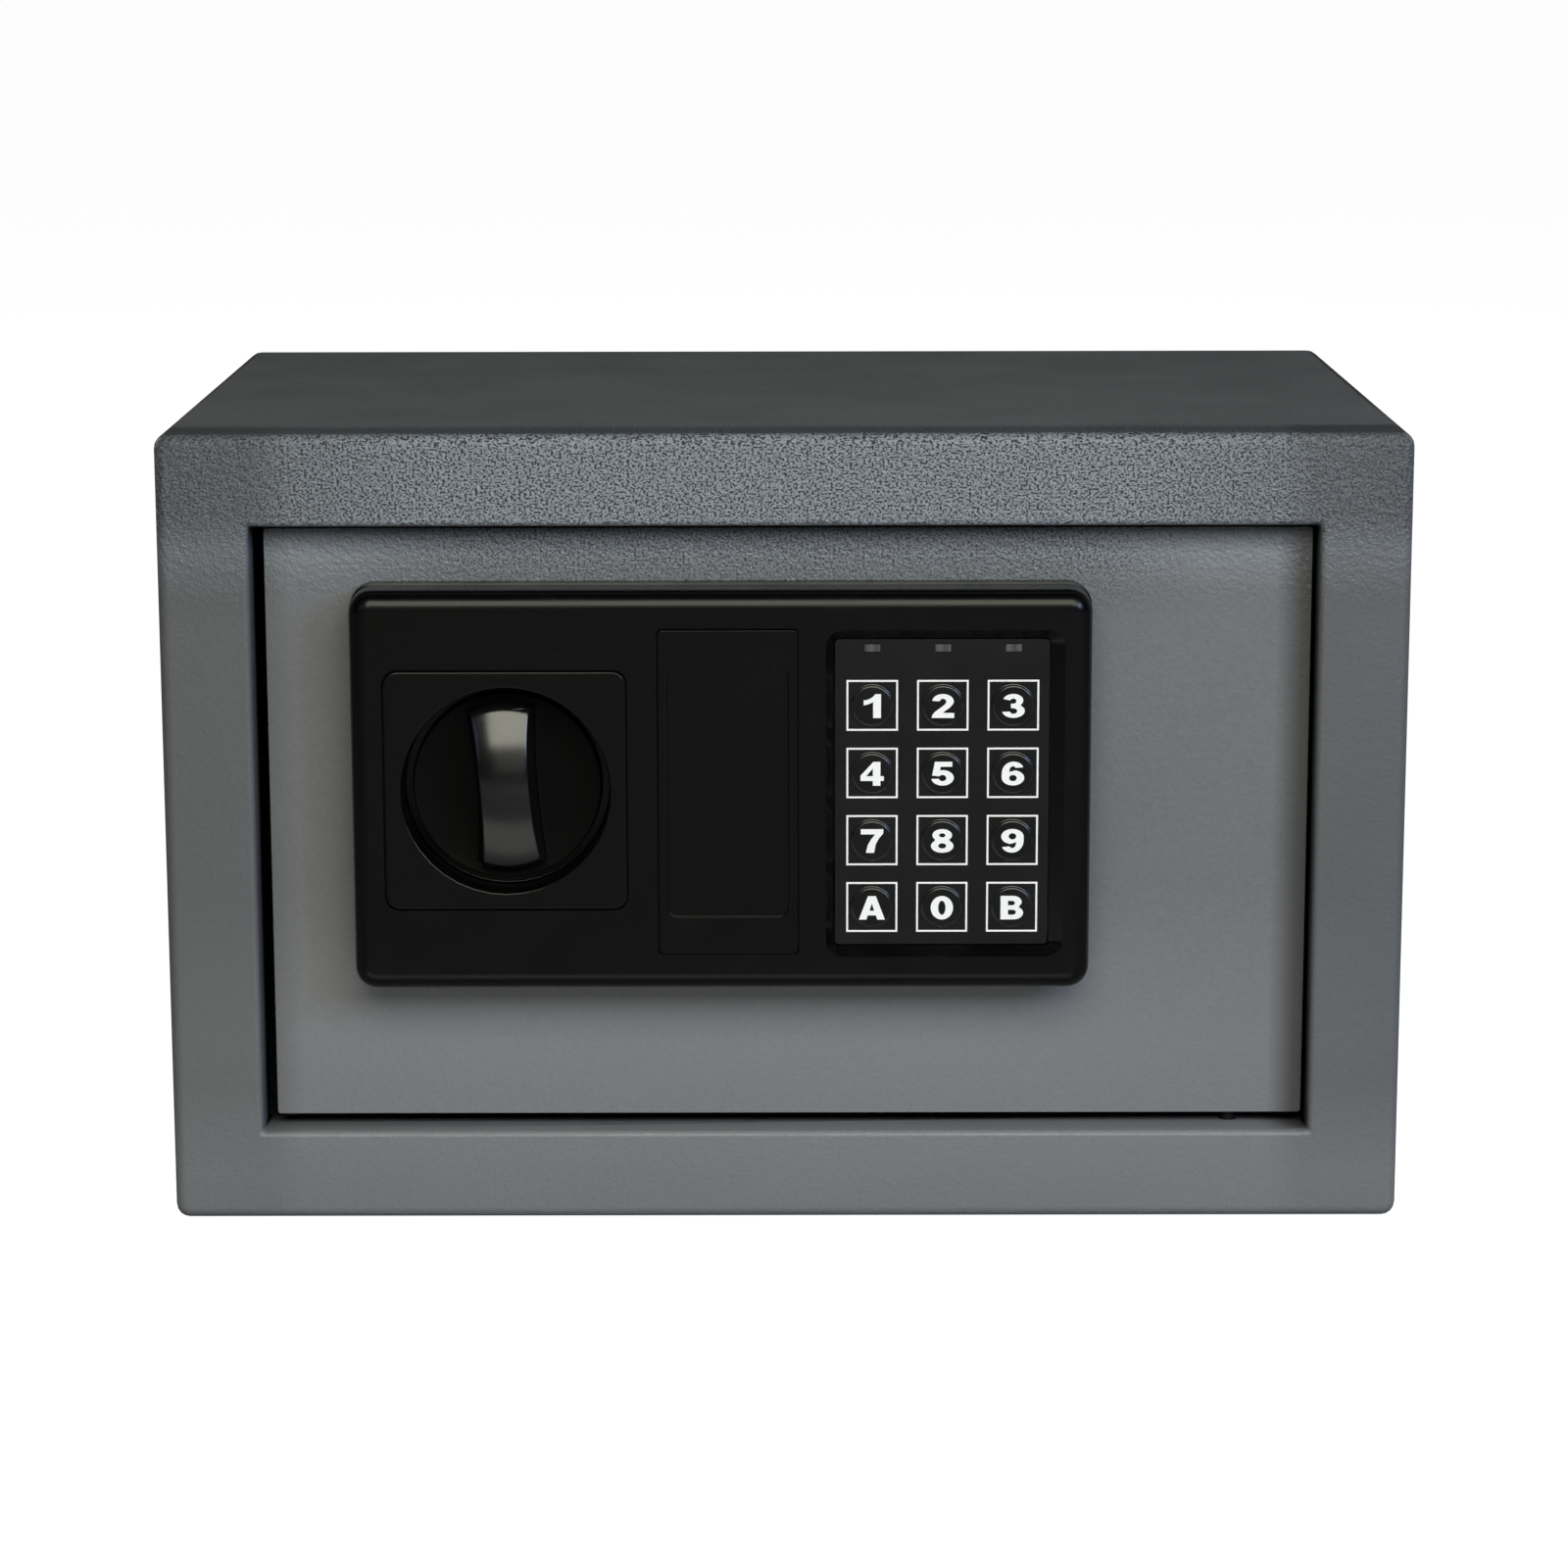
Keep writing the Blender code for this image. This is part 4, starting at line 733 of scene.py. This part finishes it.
def knob_section(v, steps=10):
    """Half of the knob's cut at v along the grip: (distance across, height), centre to rim."""
    rim = math.sqrt(max(KNOB_RIM ** 2 - v * v, 0))

    def dome(u):
        along = abs(v - GRIP_OFFSET)
        past = along + GRIP_BOW * (u / GRIP_BOW_AT) ** 2 - GRIP_END + GRIP_ROUND
        if past >= GRIP_ROUND:
            return 0.0
        fall = GRIP_ROUND - math.sqrt(GRIP_ROUND ** 2 - max(past, 0) ** 2)
        lengthwise, sideways = (along / GRIP_END) ** 2, (u / GRIP_CROWN_AT) ** 2
        return GRIP_HEIGHT - GRIP_FALL * lengthwise - GRIP_CROWN * sideways - fall

    def dish(u):
        r = math.hypot(u, v)
        return DISH_LOW + DISH_RISE * (r / KNOB_RIM) ** 4

    bow = (v / WAIST_AT) ** 2
    top, foot = WAIST_TOP + WAIST_TOP_SPREAD * bow, WAIST_FOOT + WAIST_FOOT_SPREAD * bow

    def wall(height):
        return top + (foot - top) * (WALL_FROM - height) / WALL_TALL

    edge = top
    for _ in range(SETTLE_ROUNDS):
        edge = wall(dome(edge))
    base = foot
    for _ in range(SETTLE_ROUNDS):
        base = wall(dish(base))
    height = dome(edge) if edge < rim else 0
    section = []
    if height > dish(edge) + GRIP_LEAST:
        corner, low_corner = (edge, height), (base, dish(base))
        length = math.dist(corner, low_corner)
        near = min(GRIP_FILLET, length * 0.45) / length
        far = 1 - min(GRIP_ROOT, length * 0.45) / length
        start = (edge - GRIP_FILLET, dome(edge - GRIP_FILLET))
        down = [corner[i] + (low_corner[i] - corner[i]) * near for i in (0, 1)]
        low = [corner[i] + (low_corner[i] - corner[i]) * far for i in (0, 1)]
        end = (base + GRIP_ROOT, dish(base + GRIP_ROOT))
        section += [(start[0] * i / steps, dome(start[0] * i / steps)) for i in range(steps)]
        for a, b, c in ((start, corner, down), (low, low_corner, end)):
            for i in range(7):
                t = i / 6
                section.append(tuple(
                    (1 - t) ** 2 * a[k] + 2 * t * (1 - t) * b[k] + t * t * c[k] for k in (0, 1)))
        outer = end[0]
    else:
        outer = rim * 0.6
        count = steps + 14
        for i in range(count):
            u = outer * i / (count - 1)
            section.append((u, max(dish(u), dome(u))))
    for i in range(1, steps + 1):
        u = outer + (rim - outer) * i / steps
        section.append((u, dish(u)))
    return [(min(u, rim), h) for u, h in section]


def make_knob():
    """The knob: a dished disc with a domed, waisted grip standing on it, leaning a little."""
    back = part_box("knob")[1][1]
    centre = middle("knob")
    rows = KNOB_ROWS
    points, faces, columns = [], [], 0
    cos, sin = math.cos(GRIP_LEAN), math.sin(GRIP_LEAN)
    for row in range(rows + 1):
        v = -KNOB_RIM * math.cos(math.pi * row / rows)
        half = knob_section(v)
        line = [(-u, h) for u, h in reversed(half[1:])] + half
        columns = len(line)
        for u, h in line:
            points.append((centre.x + u * cos - v * sin, CASE_FACE - h, centre.z + u * sin + v * cos))
    for row in range(rows):
        for i in range(columns - 1):
            here = row * columns + i
            faces.append((here, here + 1, here + columns + 1, here + columns))
    shape_mesh = mesh_from(points, faces, "knob_front")
    shape = bmesh.new()
    shape.from_mesh(shape_mesh)
    border = [edge for edge in shape.edges if edge.is_boundary]
    for y in (None, back):
        grown = bmesh.ops.extrude_edge_only(shape, edges=border)["geom"]
        ring = [item for item in grown if isinstance(item, bmesh.types.BMVert)]
        for vert in ring:
            out = Vector((vert.co.x - centre.x, 0, vert.co.z - centre.z))
            out.normalize()
            vert.co += out * KNOB_EDGE
            vert.co.y = vert.co.y + KNOB_EDGE_DROP if y is None else y
        border = [item for item in grown if isinstance(item, bmesh.types.BMEdge)]
    bmesh.ops.contextual_create(shape, geom=border)
    bmesh.ops.recalc_face_normals(shape, faces=shape.faces)
    shape.to_mesh(shape_mesh)
    shape.free()
    smooth_shading(shape_mesh, 50)
    gloss = FINISHES["gloss_plastic"]
    knob = add_piece("knob_moulding", shape_mesh, gloss, "knob", ("knob",))
    # The dish faces wear the darker copy: painted shade in the recess round the grip
    knob.data.materials.append(KNOB_DISH_SHADE)
    for face in knob.data.polygons:
        face.material_index = int(CASE_FACE - face.center.y < DISH_TOP)


# ---------------------------------------------------------------- carpet and weld bead

def make_mat():
    """The cut carpet on the cabin floor, its pile slightly uneven, with the two anchor holes."""
    low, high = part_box("floor_mat")
    columns, rows = MAT_COLUMNS, MAT_ROWS
    wide, deep = high[0] - low[0], high[1] - low[1]
    points, faces = [], []
    for top in (True, False):
        for row in range(rows + 1):
            for column in range(columns + 1):
                x, y = low[0] + wide * column / columns, low[1] + deep * row / rows
                z = low[2]
                if top:
                    spot = Vector((x, y, 0))
                    pile = sum(
                        noise.noise(spot * scale) * depth for scale, depth in (PILE_TUFTS, PILE_DENTS))
                    margin = min(column, columns - column, row, rows - row)
                    z = high[2] - PILE_DROP + pile - (PILE_EDGE if margin == 0 else 0)
                points.append((x, y, z))
    count = (columns + 1) * (rows + 1)
    stride = columns + 1
    for row in range(rows):
        for column in range(columns):
            a = row * stride + column
            faces.append((a, a + 1, a + stride + 1, a + stride))
            faces.append((count + a, count + a + stride, count + a + stride + 1, count + a + 1))
    ring = list(range(stride)) + [row * stride + columns for row in range(1, rows + 1)]
    ring += [rows * stride + column for column in range(columns - 1, -1, -1)]
    ring += [row * stride for row in range(rows - 1, 0, -1)]
    for a, b in zip(ring, ring[1:] + ring[:1]):
        faces.append((a, count + a, count + b, b))
    mesh = mesh_from(points, faces, "carpet_mat")
    mat = add_piece("carpet_mat", mesh, FINISHES["carpet"], "case", ("floor_mat",))
    for number, x in enumerate(ANCHOR_PLACES, 1):
        profile = [(0, 0), (ANCHOR_CUT, 0), (ANCHOR_CUT, 0.02), (0, 0.02)]
        cutter_mesh = turned(profile, Vector((0, 0, 0)), "anchor_cut", 48)
        upright = Matrix.Rotation(-math.pi / 2, 4, "X")
        cutter_mesh.transform(Matrix.Translation((x, ANCHOR_DEPTH, -0.005)) @ upright)
        cutter = bpy.data.objects.new(f"anchor_cut_{number}", cutter_mesh)
        bpy.context.scene.collection.objects.link(cutter)
        cut = mat.modifiers.new("Anchor hole", "BOOLEAN")
        cut.operation = "DIFFERENCE"
        cut.object = cutter
    bpy.context.view_layer.update()
    graph = bpy.context.evaluated_depsgraph_get()
    final = bpy.data.meshes.new_from_object(mat.evaluated_get(graph))
    mat.modifiers.clear()
    mat.data = final
    for cutter in [item for item in bpy.data.objects if item.name.startswith("anchor_cut_")]:
        bpy.data.objects.remove(cutter)


def make_back_seam():
    """The painted weld bead in the corner between the back panel and the case's walls."""
    low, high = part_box("back_panel")
    face = low[1]
    section = (
        (0, SEAM_BEHIND), (0, -SEAM_LEG), (SEAM_HOLLOW, -SEAM_HOLLOW), (SEAM_LEG, -SEAM_SKIN),
        (SEAM_GAP, -SEAM_SKIN), (SEAM_GAP, SEAM_BEHIND),
    )
    points, faces = [], []
    for inset, ahead in section:
        reach = SEAM_GAP - inset
        points += [(x, face + ahead, z) for x, z in (
            (low[0] - reach, low[2] - reach), (high[0] + reach, low[2] - reach),
            (high[0] + reach, high[2] + reach), (low[0] - reach, high[2] + reach))]
    for ring_number in range(len(section)):
        here, there = 4 * ring_number, 4 * ((ring_number + 1) % len(section))
        for i in range(4):
            j = (i + 1) % 4
            faces.append((here + i, here + j, there + j, there + i))
    bead = mesh_from(points, faces, "back_seam")
    add_piece("back_seam", bead, FINISHES["case_paint"], "case")


# ---------------------------------------------------------------- the model's own nodes

def dress_nodes():
    """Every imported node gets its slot's finish and small edge radii."""
    for part in frame["record"]["subparts"]:
        name = part["node"]
        # The hinge pins are painted near black instead of their slot's finish: painted shade in the gap
        # below the door
        painted = name.startswith("hinge_pin")
        wear(NODES[name], SHADE_PAINTED_PIN if painted else FINISHES[part["material_slot"]])
        smooth_shading(NODES[name].data, 35)
        smooth_edges(NODES[name], EDGES.get(name, EDGE))


# ---------------------------------------------------------------- light, floor, camera

def area_light(name, place, target, size, power, colour):
    """A soft rectangular lamp that the camera doesn't see."""
    data = bpy.data.lights.new(name, "AREA")
    data.shape = "RECTANGLE"
    data.size, data.size_y = size
    data.energy = power
    data.color = colour
    lamp = bpy.data.objects.new(name, data)
    lamp.location = place
    lamp.rotation_mode = "QUATERNION"
    lamp.rotation_quaternion = (Vector(target) - Vector(place)).to_track_quat("-Z", "Y")
    lamp.visible_camera = False
    bpy.context.scene.collection.objects.link(lamp)


def camera_only(tree, seen, otherwise, target):
    """One closure for what the camera sees directly, and another for all other rays."""
    path = tree.nodes.new("ShaderNodeLightPath")
    mixer = tree.nodes.new("ShaderNodeMixShader")
    tree.links.new(path.outputs["Is Camera Ray"], mixer.inputs[0])
    tree.links.new(otherwise, mixer.inputs[1])
    tree.links.new(seen, mixer.inputs[2])
    tree.links.new(mixer.outputs[0], target)


def make_floor():
    """A wide paper sweep: white where it is seen, and a modest grey where it lights the safe."""
    half = FLOOR_HALF
    mesh = bpy.data.meshes.new("floor")
    corners = [(-half, -half, 0), (half, -half, 0), (half, half, 0), (-half, half, 0)]
    mesh.from_pydata(corners, [], [(0, 1, 2, 3)])
    floor = bpy.data.objects.new("floor", mesh)
    floor.location.z = -FLOOR_DROP
    bpy.context.scene.collection.objects.link(floor)
    paper = bpy.data.materials.new("white_paper")
    paper.use_nodes = True
    mesh.materials.append(paper)
    tree = paper.node_tree
    shader = tree.nodes["Principled BSDF"]
    shader.inputs["Base Color"].default_value = PAPER
    shader.inputs["Roughness"].default_value = 0.9
    shader.inputs["Specular IOR Level"].default_value = 0.1
    bounce = tree.nodes.new("ShaderNodeBsdfDiffuse")
    bounce.inputs["Color"].default_value = FLOOR_BOUNCE
    glow = tree.nodes.new("ShaderNodeEmission")
    glow.inputs["Strength"].default_value = FLOOR_GLOW
    lit = tree.nodes.new("ShaderNodeAddShader")
    tree.links.new(shader.outputs[0], lit.inputs[0])
    tree.links.new(glow.outputs[0], lit.inputs[1])
    camera_only(tree, lit.outputs[0], bounce.outputs[0], tree.nodes["Material Output"].inputs["Surface"])


def make_studio():
    make_floor()
    world = bpy.data.worlds.new("studio")
    world.use_nodes = True
    bpy.context.scene.world = world
    tree = world.node_tree
    dim = tree.nodes["Background"]
    dim.inputs["Color"].default_value = WHITE
    dim.inputs["Strength"].default_value = WORLD_GLOW
    seen = tree.nodes.new("ShaderNodeBackground")
    seen.inputs["Color"].default_value = WHITE
    camera_only(tree, seen.outputs[0], dim.outputs[0], tree.nodes["World Output"].inputs["Surface"])
    for light in LIGHTS:
        area_light(*light)


def make_camera():
    data = bpy.data.cameras.new("camera")
    data.lens = CAMERA_LENS
    data.sensor_width = 36
    camera = bpy.data.objects.new("camera", data)
    camera.location = CAMERA_PLACE
    camera.rotation_euler = (math.pi / 2 - CAMERA_TILT, CAMERA_ROLL, 0)
    bpy.context.scene.collection.objects.link(camera)
    bpy.context.scene.camera = camera


make_camera()
make_studio()
dress_nodes()
for key_label in KEY_LABELS:
    make_key(key_label)
make_key_frames()
for lens_number in (1, 2, 3):
    make_lens(f"status_lens_{lens_number}")
make_knob()
make_mat()
make_back_seam()
bpy.context.scene.view_settings.view_transform = "Standard"

bpy.context.view_layer.update()
